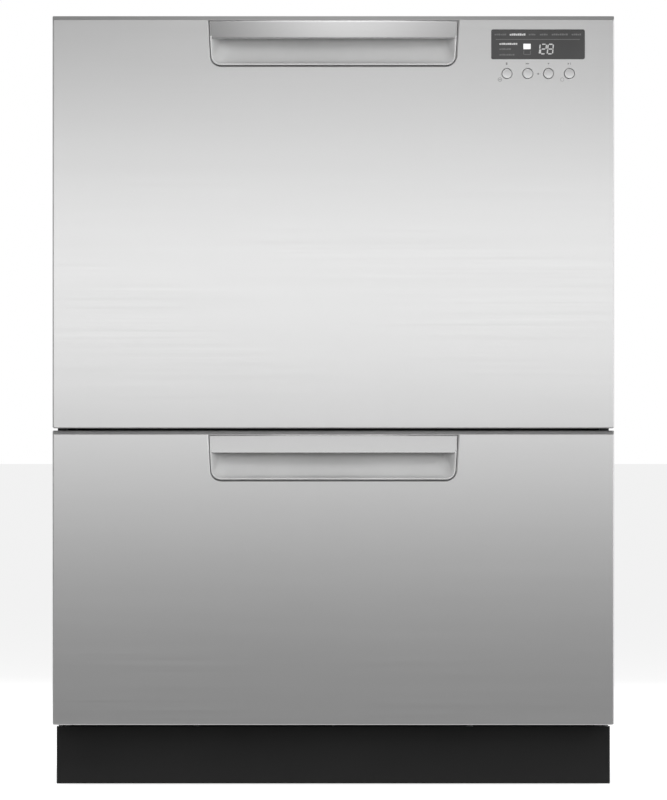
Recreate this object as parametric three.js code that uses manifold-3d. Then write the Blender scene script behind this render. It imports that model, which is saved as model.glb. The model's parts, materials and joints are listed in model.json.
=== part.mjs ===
// A built-in dishwasher with two stacked drawers. Each drawer is a wash tub on telescopic
// runners behind a folded stainless front, closed from above by a lid that two side actuators lower.
// Millimetres, +Z up. The fronts face -Y, the floor is Z = 0 and the centre of the footprint is X = Y = 0.
import * as THREE from 'three';
import { mergeVertices } from 'three/addons/utils/BufferGeometryUtils.js';
import Module from 'manifold-3d';

const wasm = await Module();
wasm.setup();

// ---- Driving dimensions -------------------------------------------------------------------

// Overall
const width = 599; // across the drawer fronts
const height = 820; // floor to the top of the upper front, feet wound in
const depth = 573; // crown of the handle bars to the back panel
const toeHeight = 64; // floor to the lower edge of the lower front
const lowerFrontHeight = 314;
const frontGap = 2.4; // between the two fronts

// Clearances
const seat = 0.3; // between two pieces that touch
const running = 0.4; // between two pieces that slide or turn
const pinGap = 0.8; // hinge pin to the corners of its six-sided hole

// Drawer fronts
const frontThickness = 27; // face to the back of the inner panel
const skinSheet = 1;
const skinReturn = 25.5; // depth of the folded edges
const topBevel = 4.6;
const edgeBreak = 2; // folded corners at the sides and foot
const frontOverhang = 5; // past the chassis on each side
const frontSealGap = 2; // inner panel to the chassis

// Handle recess and bar
const handleWindowGap = 34.3; // end of the recess to the display window
const handleTaper = 2.6; // how far each end of the recess draws in at its foot
const handleHeight = 48.2;
const handleCorner = 9;
const handleRim = 2.4; // width of the moulded lip
const handleShadowGap = 0.5; // lip to the edge of the skin
const barHeight = 18.6;
const barThickness = 2.2;
const barCrown = 3.1; // how far the middle of the bar bows forward
const barLean = 2.6; // how far its top edge stands behind its lower edge
const barSoftEdge = 1;
const recessWall = 2;
const recessDraft = 12; // how far the recess draws in at its back, on each side

// Control panel
const windowWidth = 99;
const windowHeight = 31;
const windowInset = 31.8; // edge of the window in from the side of the front
const windowDrop = 30.2; // its centre below the top of the front
const windowCorner = 1.5;
const lensThickness = 3.3;
const lensLip = 3;
const buttonRadius = 5.2;
const buttonGap = 0.35; // round each button
const buttonPitch = 22.15;
const buttonDrop = 61.3;
const buttonCount = 4;
const buttonProud = 0.6;
const buttonTravel = 1;
const buttonLip = 1.6;
const buttonStem = 2.4;
const podWall = 2;

// Chassis
const chassisDrop = 3; // chassis top below the top of the upper front
const steel = 1.2;
const flange = 10;
const sideRunnerRelief = 4; // opening in the front flange above and below a runner
const chassisFoot = 34; // lower edge of the side panels above the floor
const trayWall = 2.5;
const trayHeight = 24;
const kickSetback = 51; // kickstrip behind the face of the fronts
const kickSheet = 1.5;
const kickReturn = 14;
const kickFloorGap = 1.5;
const kickTopGap = 2.6; // kickstrip to the lower front

// Feet
const footPadRadius = 17;
const footPadHeight = 8;
const footStemRadius = 5;
const footStemLength = 104;
const footInset = 18.5; // stem in from the chassis side
const footFrontSetback = 15; // pad behind the kickstrip
const footRearInset = 24.5;

// Runners
const runnerHeight = 46;
const runnerSheet = 1.5;
const runnerDepth = 11;
const runnerFrontGap = 4; // runner to the front and the back of the chassis
const runnerBackGap = 35.7;
const runnerDrop = 140; // centre of the runner below the tub's rim

// Tub
const rimDrop = 12; // tub rim below the top of the lower front
const upperRimDrop = 52.5; // tub rim below the top of the upper front
const rimFlange = 8;
const rimThickness = 5;
const tubWall = 3;
const tubDraft = 7; // how far each wall draws in by the floor
const tubCorner = 30;
const tubFootRadius = 14;
const tubBackGap = 41; // tub rim to the back panel
const ledgeInset = 62.2; // rack ledges and runner bosses in from the ends of the straight wall
const bossInset = 42.2;
const sumpRadius = 118;
const sumpDepth = 12;
const motorDepth = 28;
const drawerFloorGap = 4; // lowest point of the lower drawer above the toe space
const lidHeadroom = 27; // lower lid to the lowest point of the upper drawer

// Lid
const lidTravel = 12;
const lidThickness = 16;
const lidFlange = 5; // thickness of the lid's edge, and how far its body is set in from it
const lidGroove = 2.5;
const sealHeight = 6;
const sealWidth = 6;
const sealInset = 0.5; // seal in from the lid's edge
const lugRadius = 4;
const actuatorLength = 300;
const actuatorHeight = 34;
const actuatorRim = 6; // actuator above the tub rim
const lugSpacing = 220;

// Inside the tub
const armLift = 16; // shoulder that the spray arm turns on, above the floor
const armWidth = 46;
const armThickness = 9;
const armClearance = 24; // arm tip to the tub wall
const hubRadius = 24;
const spoutRadius = 16;
const neckRadius = 11;
const neckGap = 0.7; // spray arm's bore round the neck
const filterRadius = 126;
const filterSheet = 2.5;
const rackLift = 52; // underside of the rack above the floor
const rackWire = 5;
const rackCells = [4, 5]; // openings of the rack's floor, across and along
const rackGap = 17; // rack to the tub wall
const rackLedge = 24; // ledge under the rack, in from the tub wall
const rackWallHeight = 60;
const cupRackWidth = 96;
const cupPostInset = 42.2; // posts of the cup rack in from the ends of the base rack
const cupRackWire = 5;
const cupRackRimGap = 14; // folded cup rack below the rim
const tineFoot = 2; // corner radius
const tineTip = 1.1;
const tineClearance = 12; // tine tips below the cup rack
const tineCount = 8;
const basketWidth = 68;
const basketLength = 230;
const basketHeight = 108;
const basketWall = 2.5;

// Detergent dispenser
const dispenserWidth = 150;
const dispenserHeight = 94;
const dispenserDrop = 36; // top of the housing below the rim
const dispenserDepth = 22; // housing in from the tub's front rim
const doorWidth = 70;
const doorHeight = 60;
const doorSheet = 2.5;
const doorPin = 1.5;
const doorInset = 14; // door in from the end of the housing
const doorRise = 16; // its hinge above the foot of the housing
const cupDepth = 14;
const cupMargin = 3; // detergent cup in from the edges of its door
const rinseCapRadius = 15;

// ---- Planes worked out from them -----------------------------------------------------------

const faceY = -depth / 2 + barCrown;
const frontBackY = faceY + frontThickness;
const chassisFrontY = frontBackY + frontSealGap;
const backY = depth / 2;
const halfWidth = width / 2;
const chassisHalf = halfWidth - frontOverhang;
const chassisInner = chassisHalf - steel;
const chassisTop = height - chassisDrop;
const lowerFrontTop = toeHeight + lowerFrontHeight;
const upperFrontFoot = lowerFrontTop + frontGap;
const belowFloor = sumpDepth + seat + motorDepth;
const sealRest = running + lidTravel; // underside of the raised seal above the rim
const lidUnderside = sealRest + sealHeight;
const lidTop = lidUnderside + lidThickness;
const lowerRim = lowerFrontTop - rimDrop;
const upperRim = height - upperRimDrop;
const kickFaceY = faceY + kickSetback;
const kickTop = toeHeight - kickTopGap;
const kickEndY = kickFaceY + kickReturn;

const runnerOuterX = chassisInner - seat; // back of the fixed member
const runnerMidX = runnerOuterX - runnerSheet - running;
const runnerInnerX = runnerMidX - runnerSheet - running;
const runnerFaceX = runnerOuterX - runnerDepth - runnerSheet; // face that the tub bolts to
const runnerY = [chassisFrontY + runnerFrontGap, backY - steel - runnerBackGap];

const rimHalfX = runnerFaceX - rimFlange - 0.3;
const rimFrontY = frontBackY + seat;
const rimBackY = backY - steel - tubBackGap;
const tubCentreY = (rimFrontY + rimBackY) / 2;
const rimHalfY = (rimBackY - rimFrontY) / 2;
const wallHalfX = rimHalfX - rimFlange;
const wallHalfY = rimHalfY - rimFlange;
const straightHalfY = wallHalfY - tubCorner; // where the straight part of a side wall ends

const windowX = halfWidth - windowInset - windowWidth / 2;
const handleHalfTop = windowX - windowWidth / 2 - handleWindowGap;
const handleHalfFoot = handleHalfTop - handleTaper;

// ---- Materials ------------------------------------------------------------------------------

const paint = (color, roughness, metalness = 0) =>
  new THREE.MeshStandardMaterial({ color, roughness, metalness });
const materials = {
  stainless: paint(0xc9cacb, 0.32, 0.9),
  satinBar: paint(0xd2d3d4, 0.25, 0.9),
  silverPlastic: paint(0xb9babb, 0.45, 0.1),
  galvanised: paint(0xa9adb0, 0.5, 0.8),
  runnerSteel: paint(0xb4b7ba, 0.35, 0.9),
  blackPlastic: paint(0x1d1d1e, 0.55),
  panelPlastic: paint(0x8b8e91, 0.5),
  tubPlastic: paint(0xb6babd, 0.42),
  rackPlastic: paint(0x7f868c, 0.45),
  clearPlastic: paint(0x9fb0ba, 0.25),
  armPlastic: paint(0x9a9fa3, 0.4),
  lensPlastic: paint(0x2b2c2e, 0.12),
  buttonMetal: paint(0xd4d5d6, 0.28, 0.8),
  motorPlastic: paint(0x3a3c40, 0.6),
};

// ---- Making solids --------------------------------------------------------------------------

// A closed geometry as a solid that can be joined and cut.
function solid(geometry) {
  const bare = geometry.index ? geometry.toNonIndexed() : geometry.clone();
  bare.deleteAttribute('normal');
  bare.deleteAttribute('uv');
  const merged = mergeVertices(bare, 1e-4);
  const made = new wasm.Manifold(
    new wasm.Mesh({
      numProp: 3,
      vertProperties: new Float32Array(merged.attributes.position.array),
      triVerts: new Uint32Array(merged.index.array),
    }),
  );
  if (made.volume() >= 0) return made;
  const flipped = merged.index.array.slice().reverse();
  return new wasm.Manifold(
    new wasm.Mesh({
      numProp: 3,
      vertProperties: new Float32Array(merged.attributes.position.array),
      triVerts: new Uint32Array(flipped),
    }),
  );
}

// The box between two limits on each axis, given in either order. Its corners are set to the
// limits themselves, so that faces meant to lie in one plane do.
function box(x0, x1, y0, y1, z0, z1) {
  const geometry = new THREE.BoxGeometry();
  const corners = geometry.attributes.position;
  const pick = (place, a, b) => (place < 0 ? Math.min(a, b) : Math.max(a, b));
  for (let i = 0; i < corners.count; i += 1) {
    corners.setXYZ(i, pick(corners.getX(i), x0, x1), pick(corners.getY(i), y0, y1),
      pick(corners.getZ(i), z0, z1));
  }
  return solid(geometry);
}

const AXES = {
  x: new THREE.Matrix4().set(0, 0, 1, 0, 1, 0, 0, 0, 0, 1, 0, 0, 0, 0, 0, 1), // outline in Y, Z
  y: new THREE.Matrix4().set(1, 0, 0, 0, 0, 0, -1, 0, 0, 1, 0, 0, 0, 0, 0, 1), // outline in X, Z
  z: new THREE.Matrix4(), // outline in X, Y
};

// An outline, with optional holes, extruded along an axis from one plane to another.
function prism(axis, outline, from, to, holes = []) {
  const shape = new THREE.Shape(outline.map(([u, v]) => new THREE.Vector2(u, v)));
  shape.holes = holes.map((hole) => new THREE.Path(hole.map(([u, v]) => new THREE.Vector2(u, v))));
  const geometry = new THREE.ExtrudeGeometry(shape, { depth: 1, bevelEnabled: false });
  const ends = [Math.min(from, to), Math.max(from, to)];
  if (axis === 'y') ends.reverse();
  const places = geometry.attributes.position;
  const sign = axis === 'y' ? -1 : 1;
  for (let i = 0; i < places.count; i += 1) {
    places.setZ(i, sign * ends[places.getZ(i) < 0.5 ? 0 : 1]);
  }
  geometry.applyMatrix4(AXES[axis]);
  return solid(geometry);
}

// A disc or tube about an axis, from a list of [radius, place along the axis] pairs.
function turned(axis, profile, centre, segments = 24) {
  const points = profile.map(([r, along]) => new THREE.Vector2(r, along));
  const geometry = new THREE.LatheGeometry([...points, points[0]], segments);
  if (axis === 'z') geometry.rotateX(Math.PI / 2);
  if (axis === 'x') geometry.rotateZ(-Math.PI / 2);
  geometry.translate(...centre);
  return solid(geometry);
}

// A plain round bar about an axis.
function bar(axis, radius, from, to, centre, segments = 16) {
  return turned(axis, [[0, from], [radius, from], [radius, to], [0, to]], centre, segments);
}

// A corner's arc as points, from one angle to another in quarter turns.
function arc(cx, cy, radius, startQuarter, endQuarter, steps) {
  return Array.from({ length: steps + 1 }, (_, i) => {
    const angle = ((startQuarter + ((endQuarter - startQuarter) * i) / steps) * Math.PI) / 2;
    return [cx + radius * Math.cos(angle), cy + radius * Math.sin(angle)];
  });
}

// A rounded rectangle, anticlockwise from its right side.
function roundedRect(halfU, halfV, radius, steps = 4, cu = 0, cv = 0) {
  const [u, v] = [halfU - radius, halfV - radius];
  return [
    ...arc(cu + u, cv - v, radius, -1, 0, steps),
    ...arc(cu + u, cv + v, radius, 0, 1, steps),
    ...arc(cu - u, cv + v, radius, 1, 2, steps),
    ...arc(cu - u, cv - v, radius, 2, 3, steps),
  ];
}

const rectangle = (u0, u1, v0, v1) => [[u0, v0], [u1, v0], [u1, v1], [u0, v1]];

// A skin through a stack of rings with equal numbers of points, capped at both ends.
function loft(rings) {
  const count = rings[0].length;
  const positions = rings.flat(2);
  const index = [];
  for (let r = 0; r + 1 < rings.length; r += 1) {
    for (let i = 0; i < count; i += 1) {
      const [a, b] = [r * count + i, r * count + ((i + 1) % count)];
      index.push(a, b, b + count, a, b + count, a + count);
    }
  }
  const last = (rings.length - 1) * count;
  for (let i = 1; i + 1 < count; i += 1) {
    index.push(0, i + 1, i, last, last + i, last + i + 1);
  }
  const geometry = new THREE.BufferGeometry();
  geometry.setAttribute('position', new THREE.Float32BufferAttribute(positions, 3));
  geometry.setIndex(index);
  return solid(geometry);
}

const at = (z, outline) => outline.map(([x, y]) => [x, y, z]);
const join = (pieces) => pieces.reduce((all, piece) => all.add(piece));
const cut = (body, pieces) => pieces.reduce((all, piece) => all.subtract(piece), body);

// Cells of equal size that leave bars of one width between and around them.
function cells([x0, x1], [y0, y1], [z0, z1], [across, along], wire) {
  const pitchX = (x1 - x0 - wire) / across;
  const pitchY = (y1 - y0 - wire) / along;
  return Array.from({ length: across * along }, (_, i) => {
    const x = x0 + wire + (i % across) * pitchX;
    const y = y0 + wire + Math.floor(i / across) * pitchY;
    return box(x, x + pitchX - wire, y, y + pitchY - wire, z0, z1);
  });
}

// A solid as a named mesh.
function piece(name, body, material) {
  const made = body.getMesh();
  const geometry = new THREE.BufferGeometry();
  geometry.setAttribute('position', new THREE.BufferAttribute(made.vertProperties.slice(), 3));
  geometry.setIndex(new THREE.BufferAttribute(made.triVerts.slice(), 1));
  geometry.computeVertexNormals();
  const mesh = new THREE.Mesh(geometry, material);
  mesh.name = name;
  return mesh;
}

const SIDES = { left: -1, right: 1 };

// ---- Chassis --------------------------------------------------------------------------------

// A shallow pressed stiffener: a tapered pad pushed through a sheet along an axis.
function pressedPad(axis, [u0, u1], [v0, v1], sheetFrom, sheetTo, rise) {
  const direction = Math.sign(sheetTo - sheetFrom);
  const slope = 2 * rise;
  const ring = (inset, along) =>
    rectangle(u0 + inset, u1 - inset, v0 + inset, v1 - inset).map(([u, v]) =>
      axis === 'x' ? [along, u, v] : axis === 'y' ? [u, along, v] : [u, v, along],
    );
  const pad = loft([ring(0, sheetTo - direction * 0.1), ring(slope, sheetTo + direction * rise)]);
  const hollow = loft([
    ring(steel, sheetFrom - direction * 0.1),
    ring(slope + steel, sheetTo + direction * (rise - steel)),
  ]);
  return { pad, hollow };
}

function pressPads(sheet, pads) {
  return cut(join([sheet, ...pads.map((p) => p.pad)]), pads.map((p) => p.hollow));
}

const toeNotchTop = toeHeight + 2;
const toeNotchY = kickEndY + seat;
const sideTop = chassisTop - steel - seat;
const sideBackY = backY - steel - seat;

// A side panel: a web with flanges folded in, notched over the toe space and past each runner.
function sidePanel(s) {
  const inward = (distance) => s * (chassisHalf - distance);
  const outline = [
    [toeNotchY, chassisFoot],
    [sideBackY, chassisFoot],
    [sideBackY, sideTop],
    [chassisFrontY, sideTop],
    [chassisFrontY, toeNotchTop],
    [toeNotchY, toeNotchTop],
  ];
  const blank = prism('x', outline, inward(0), inward(flange));
  const inset = [
    [toeNotchY - 1, chassisFoot + steel],
    [sideBackY - steel, chassisFoot + steel],
    [sideBackY - steel, sideTop - steel],
    [chassisFrontY + steel, sideTop - steel],
    [chassisFrontY + steel, toeNotchTop + steel],
    [toeNotchY - 1, toeNotchTop + steel],
  ];
  const folded = blank.subtract(prism('x', inset, inward(steel), inward(flange + 1)));
  const reliefs = [lowerRim, upperRim].map((rim) => {
    const middle = rim - runnerDrop;
    const reach = runnerHeight / 2 + sideRunnerRelief;
    return box(inward(steel), inward(flange + 1), chassisFrontY - 1, chassisFrontY + steel + 1,
      middle - reach, middle + reach);
  });
  const padRows = [
    [toeNotchTop + 20, lowerRim - runnerDrop - runnerHeight],
    [lowerRim + actuatorRim + actuatorHeight + 20, upperRim - runnerDrop - runnerHeight],
  ];
  const pads = padRows.flatMap(([low, high]) =>
    [-110, 130].map((y) =>
      pressedPad('x', [y - 80, y + 80], [low, high], inward(0), inward(steel), 3),
    ),
  );
  return pressPads(cut(folded, reliefs), pads);
}

// The back panel closes the chassis and leaves a service opening at its foot.
const serviceSide = 79.5; // opening in from the side of the chassis
const serviceHalf = chassisHalf - serviceSide;
const serviceTop = 112;
function backPanel() {
  const outline = [
    [-chassisHalf, chassisFoot],
    [-serviceHalf, chassisFoot],
    ...arc(-serviceHalf + 12, serviceTop - 12, 12, 2, 1, 3),
    ...arc(serviceHalf - 12, serviceTop - 12, 12, 1, 0, 3),
    [serviceHalf, chassisFoot],
    [chassisHalf, chassisFoot],
    [chassisHalf, sideTop],
    [-chassisHalf, sideTop],
  ];
  const sheet = prism('y', outline, backY - steel, backY);
  const padX = chassisHalf - 150;
  const pads = [
    [serviceTop + 40, lowerRim],
    [lowerRim + 60, upperRim - 40],
  ].flatMap((rows) =>
    [-padX, padX].map((x) => pressedPad('y', [x - 90, x + 90], rows, backY, backY - steel, 4)),
  );
  return pressPads(sheet, pads);
}

// The top panel: a sheet with a front fold and three long pressings.
function topPanel() {
  const sheet = box(-chassisHalf, chassisHalf, chassisFrontY, backY, chassisTop - steel, chassisTop);
  const fold = box(-chassisHalf + flange + 1, chassisHalf - flange - 1, chassisFrontY, chassisFrontY + steel,
    chassisTop - flange, chassisTop - steel / 2);
  const reach = backY - 50;
  const pads = [-150, 0, 150].map((x) =>
    pressedPad('z', [x - 50, x + 50], [-reach, reach], chassisTop, chassisTop - steel, 2.5),
  );
  return pressPads(join([sheet, fold]), pads);
}

const footX = chassisHalf - footInset;
const footY = {
  front: kickFaceY + footFrontSetback + footPadRadius,
  rear: backY - footRearInset,
};
const trayHalfX = chassisInner - seat;
const trayFrontY = kickFaceY + kickSheet + seat;
const trayBackY = backY - steel - flange / 4 - seat;
const trayFloor = chassisFoot + steel + 3;
const trayTop = chassisFoot + trayHeight;

// The base tray catches leaks, holds the feet in its corner sockets and carries the
// water inlet, the drain outlet and the mains gland on a block behind the lower tub.
function baseTray() {
  const body = box(-trayHalfX, trayHalfX, trayFrontY, trayBackY, trayFloor, trayTop);
  const ribX = [-150, 0, 150];
  const bays = [-trayHalfX + trayWall, ...ribX, trayHalfX - trayWall];
  const pockets = bays.slice(1).map((x1, i) =>
    box(bays[i] + (i ? trayWall / 2 : 0), x1 - (i < ribX.length ? trayWall / 2 : 0),
      trayFrontY + trayWall, trayBackY - trayWall, trayFloor + trayWall, trayTop + 1),
  );
  const flooded = cut(body, pockets);
  const corners = [-1, 1].flatMap((s) => Object.values(footY).map((y) => [s * footX, y]));
  const boss = footStemRadius + 7;
  const sockets = corners.map(([x, y]) =>
    box(x - boss, x + boss, y - boss, y + boss, chassisFoot + steel + seat, trayTop),
  );
  const holes = corners.map(([x, y]) =>
    bar('z', footStemRadius + 2 * running, chassisFoot, trayTop + 1, [x, y, 0], 8),
  );
  const blockBack = trayBackY - 28;
  const blockTop = toeHeight + 30;
  const block = box(-196, -60, blockBack - 34, blockBack, trayFloor + 1, blockTop);
  const spigotZ = blockTop - 18;
  const inlet = turned('y', [[0, -1], [13, -1], [13, 22], [9, 22], [9, 4], [0, 4]],
    [-172, blockBack, spigotZ], 8);
  const drain = turned('y', [[0, -1], [11, -1], [11, 4], [9, 5], [9, 24], [7, 24], [7, 4], [0, 4]],
    [-128, blockBack, spigotZ], 8);
  const gland = turned('y', [[0, -1], [10, -1], [10, 8], [6, 14], [0, 14]], [-86, blockBack, spigotZ], 8);
  return cut(join([flooded, ...sockets, block, inlet, drain, gland]), holes);
}

// The kickstrip: a black folded strip with a top flange and two end returns.
function kickstrip() {
  const blank = box(-chassisHalf, chassisHalf, kickFaceY, kickEndY, kickFloorGap, kickTop);
  const half = chassisHalf - kickSheet;
  const behind = box(-half, half, kickFaceY + kickSheet, kickEndY + 1, kickFloorGap - 1, kickTop - kickSheet);
  const overFold = box(-half, half, kickFaceY + flange, kickEndY + 1, kickFloorGap - 1, kickTop + 1);
  return cut(blank, [behind, overFold]);
}

// A levelling foot: a pad with a hexagon over it and a stem up through its socket.
function foot() {
  const pad = turned('z', [
    [0, 0],
    [footPadRadius, 0],
    [footPadRadius, footPadHeight - 3],
    [footPadRadius - 6, footPadHeight],
    [0, footPadHeight],
  ], [0, 0, 0], 12);
  const nut = bar('z', footStemRadius + 4, footPadHeight - 1, footPadHeight + 8, [0, 0, 0], 6);
  const stem = bar('z', footStemRadius, footPadHeight, footPadHeight + footStemLength, [0, 0, 0], 8);
  return join([pad, nut, stem]);
}

function chassis() {
  const group = new THREE.Group();
  Object.entries(SIDES).forEach(([side, s]) => {
    group.add(piece(`side_panel_${side}`, sidePanel(s), materials.galvanised));
    Object.entries(footY).forEach(([end, y]) => {
      const mesh = piece(`foot_${end}_${side}`, foot(), materials.blackPlastic);
      mesh.position.set(s * footX, y, 0);
      group.add(mesh);
    });
  });
  group.add(piece('back_panel', backPanel(), materials.galvanised));
  group.add(piece('top_panel', topPanel(), materials.galvanised));
  group.add(piece('base_tray', baseTray(), materials.blackPlastic));
  group.add(piece('kickstrip', kickstrip(), materials.blackPlastic));
  return group;
}

// ---- Runners --------------------------------------------------------------------------------

// A channel open towards the middle of the machine, or away from it, with lips along its flanges.
function channel(backX, reach, halfHeight, y0, y1) {
  const t = runnerSheet * Math.sign(reach);
  const lip = runnerSheet + 0.8;
  const h = halfHeight;
  const tip = backX + reach;
  const outline = [
    [backX, -h],
    [tip, -h],
    [tip, -h + lip],
    [tip - t, -h + lip],
    [tip - t, -h + runnerSheet],
    [backX + t, -h + runnerSheet],
    [backX + t, h - runnerSheet],
    [tip - t, h - runnerSheet],
    [tip - t, h - lip],
    [tip, h - lip],
    [tip, h],
    [backX, h],
  ];
  return prism('y', outline, y0, y1);
}

const lipRoom = 0.8 + running;
const midHalf = runnerHeight / 2 - runnerSheet - lipRoom;
const innerHalf = midHalf - runnerSheet - lipRoom;

function runners(name, group) {
  const [y0, y1] = runnerY;
  Object.entries(SIDES).forEach(([side, s]) => {
    const outer = channel(s * runnerOuterX, -s * runnerDepth, runnerHeight / 2, y0, y1);
    // Ball races: a rail along each flange of the middle member fills the gap to the fixed one.
    const races = [-1, 1].map((v) =>
      box(s * (runnerMidX - 2), s * (runnerMidX - 7), y0, y1, v * (midHalf - 0.5), v * (midHalf + 0.8)),
    );
    const middle = join([channel(s * runnerMidX, -s * (runnerDepth - 1), midHalf, y0, y1), ...races]);
    const innerReach = runnerInnerX - runnerFaceX;
    const innerRaces = [-1, 1].map((v) =>
      box(s * (runnerInnerX - 1), s * (runnerInnerX - 6), y0, y1 - 10,
        v * (innerHalf - 0.5), v * (innerHalf + 0.8)),
    );
    const inner = join([
      channel(s * runnerFaceX, s * innerReach, innerHalf, y0, y1 - 10),
      ...innerRaces,
    ]);
    Object.entries({ outer, middle, inner }).forEach(([member, body]) => {
      const mesh = piece(`${name}_runner_${member}_${side}`, body, materials.runnerSteel);
      mesh.position.z = -runnerDrop;
      group.add(mesh);
    });
  });
}

// ---- Lid and its actuators ------------------------------------------------------------------

const lidHalfX = rimHalfX - 1;
const lidFrontY = chassisFrontY + steel + 1.3;
const lidBackY = rimBackY - 1;
const lugZ = lidUnderside + lidThickness / 2;
const lugTip = 12;
const actuatorFaceX = rimHalfX + 2.5;
const lugY = [tubCentreY - lugSpacing / 2, tubCentreY + lugSpacing / 2];

const lidMiddleY = (lidFrontY + lidBackY) / 2;
const lidPlan = (inset) =>
  roundedRect(lidHalfX - inset, (lidBackY - lidFrontY) / 2 - inset, tubCorner - inset, 3, 0, lidMiddleY);

// The lid: a flanged slab grooved on top, with two lugs on each side and a flat seal moulded round
// its underside, which meets the tub's rim.
function lid() {
  const slab = loft([
    at(lidUnderside, lidPlan(0)),
    at(lidUnderside + lidFlange, lidPlan(0)),
    at(lidUnderside + lidFlange, lidPlan(lidFlange)),
    at(lidTop - lidFlange / 2, lidPlan(lidFlange)),
    at(lidTop, lidPlan(1.5 * lidFlange)),
  ]);
  const grooves = [-1, 0, 1].map((i) =>
    prism('z', roundedRect(20, 0.72 * lidHalfX, 18, 1, i * 0.6 * lidHalfX, lidMiddleY),
      lidTop - lidGroove, lidTop + 1),
  );
  const lugs = lugY.flatMap((y) =>
    Object.values(SIDES).map((s) => {
      const ends = [s * (lidHalfX - 2 * lidFlange), s * (lidHalfX + lugTip)];
      return bar('x', lugRadius, Math.min(...ends), Math.max(...ends), [0, y, lugZ], 6);
    }),
  );
  const seal = prism('z', lidPlan(sealInset), sealRest, lidUnderside + 1,
    [lidPlan(sealInset + sealWidth).reverse()]);
  return join([cut(slab, grooves), seal, ...lugs]);
}

// An actuator on the side panel: a slotted guide for the lid's lugs and a geared motor behind.
function lidActuator(s) {
  const outerX = s * (chassisInner - seat);
  const innerX = s * actuatorFaceX;
  const middle = tubCentreY;
  const half = actuatorLength / 2;
  const outline = [
    [middle - half, actuatorRim],
    [middle + half, actuatorRim],
    [middle + half, actuatorRim + actuatorHeight],
    [middle - half + 14, actuatorRim + actuatorHeight],
    [middle - half, actuatorRim + actuatorHeight - 14],
  ];
  const body = prism('x', outline, innerX, outerX);
  const slotHalf = lugRadius + running;
  const slots = lugY.map((y) =>
    box(innerX - s, innerX + s * (lugTip - 1), y - slotHalf, y + slotHalf,
      lugZ - lidTravel - slotHalf, lugZ + slotHalf),
  );
  const motor = bar('y', actuatorHeight / 4, middle + half - 1, middle + half + 42,
    [(innerX + outerX) / 2, 0, actuatorRim + actuatorHeight / 2], 12);
  return join([cut(body, slots), motor]);
}

function lidSet(name, group) {
  group.add(piece(`${name}_lid`, lid(), materials.tubPlastic));
  Object.entries(SIDES).forEach(([side, s]) => {
    group.add(piece(`${name}_lid_actuator_${side}`, lidActuator(s), materials.motorPlastic));
  });
}

// ---- Drawer front ---------------------------------------------------------------------------

// The U-shaped outline of the handle recess, its top at z = 0, inset all round by a margin.
function handleOutline(margin, top, corner) {
  const halfTop = handleHalfTop - margin;
  const halfFoot = handleHalfFoot - margin;
  const foot = -handleHeight + margin;
  return [
    [halfTop, top],
    [-halfTop, top],
    ...arc(-halfFoot + corner, foot + corner, corner, 2, 3, 5),
    ...arc(halfFoot - corner, foot + corner, corner, 3, 4, 5),
  ];
}

const handleTop = -topBevel - 0.4; // top of the handle below the top of the front
const lift = (z, outline) => outline.map(([u, v]) => [u, v + z]);
const buttonX = Array.from({ length: buttonCount }, (_, i) =>
  windowX + 0.25 + (i - (buttonCount - 1) / 2) * buttonPitch,
);

function buttonRow(radius, y0, y1, top, segments) {
  return buttonX.map((x) => bar('y', radius, y0, y1, [x, 0, top - buttonDrop], segments));
}

// A front's folded skin: a shallow tray with a bevelled top edge and broken corners.
function frontSkin(foot, top, hasControls) {
  const shell = (inset, backY0) => {
    const half = halfWidth - inset;
    const face = faceY + inset;
    const bevel = topBevel - inset * 0.4;
    const brk = edgeBreak - inset * 0.4;
    const section = [
      [face, foot + inset + brk],
      [face + brk, foot + inset],
      [backY0, foot + inset],
      [backY0, top - inset],
      [face + bevel, top - inset],
      [face, top - inset - bevel],
    ];
    const plan = [
      [-half, backY0],
      [-half, face + brk],
      [-half + brk, face],
      [half - brk, face],
      [half, face + brk],
      [half, backY0],
    ];
    return prism('x', section, -half, half).intersect(prism('z', plan, foot, top));
  };
  const tray = shell(0, faceY + skinReturn).subtract(shell(skinSheet, faceY + skinReturn + 1));
  const reach = [faceY - 1, faceY + 6];
  const mouth = handleOutline(-handleShadowGap, 0.4, handleCorner);
  const hole = prism('y', lift(top + handleTop, mouth), ...reach);
  if (!hasControls) return tray.subtract(hole);
  const window = prism('y',
    roundedRect(windowWidth / 2, windowHeight / 2, windowCorner, 2, windowX, top - windowDrop), ...reach);
  return cut(tray, [hole, window, ...buttonRow(buttonRadius + buttonGap, ...reach, top, 12)]);
}

const recessBackY = frontBackY - 2.5 - seat;

// The recess behind the handle bar: a scooped cup with a lip that shows round the cut in the skin.
function handleCup(top) {
  const z = top + handleTop;
  const lipY = faceY - 0.2;
  const blank = prism('y', lift(z, handleOutline(0, 0, handleCorner)), lipY, recessBackY);
  const section = (y, inset, rise, corner) => {
    const halfTop = handleHalfTop - handleRim - inset;
    const halfFoot = handleHalfFoot - handleRim - inset;
    const foot = -handleHeight + handleRim + rise;
    const roof = -recessWall - (y > faceY + 15 ? 3 : 0);
    return [
      [halfTop, roof],
      [-halfTop, roof],
      ...arc(-halfFoot + corner, foot + corner, corner, 2, 3, 4),
      ...arc(halfFoot - corner, foot + corner, corner, 3, 4, 4),
    ].map(([x, v]) => [x, y, v + z]);
  };
  const depthIn = recessBackY - recessWall - faceY;
  const scoop = loft([
    section(lipY - 1, 0, 0, 7),
    section(faceY + 1, 0.2, 0.6, 7),
    section(faceY + depthIn * 0.35, recessDraft * 0.3, 5, 8),
    section(faceY + depthIn * 0.7, recessDraft * 0.6, 13, 9),
    section(faceY + depthIn, recessDraft, 24, 9),
  ]);
  const barSlot = box(-handleHalfTop + handleRim, handleHalfTop - handleRim, lipY - 1,
    faceY + barLean + barThickness + running, z - barHeight - 1, z + 1);
  return cut(blank, [scoop, barSlot]);
}

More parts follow.
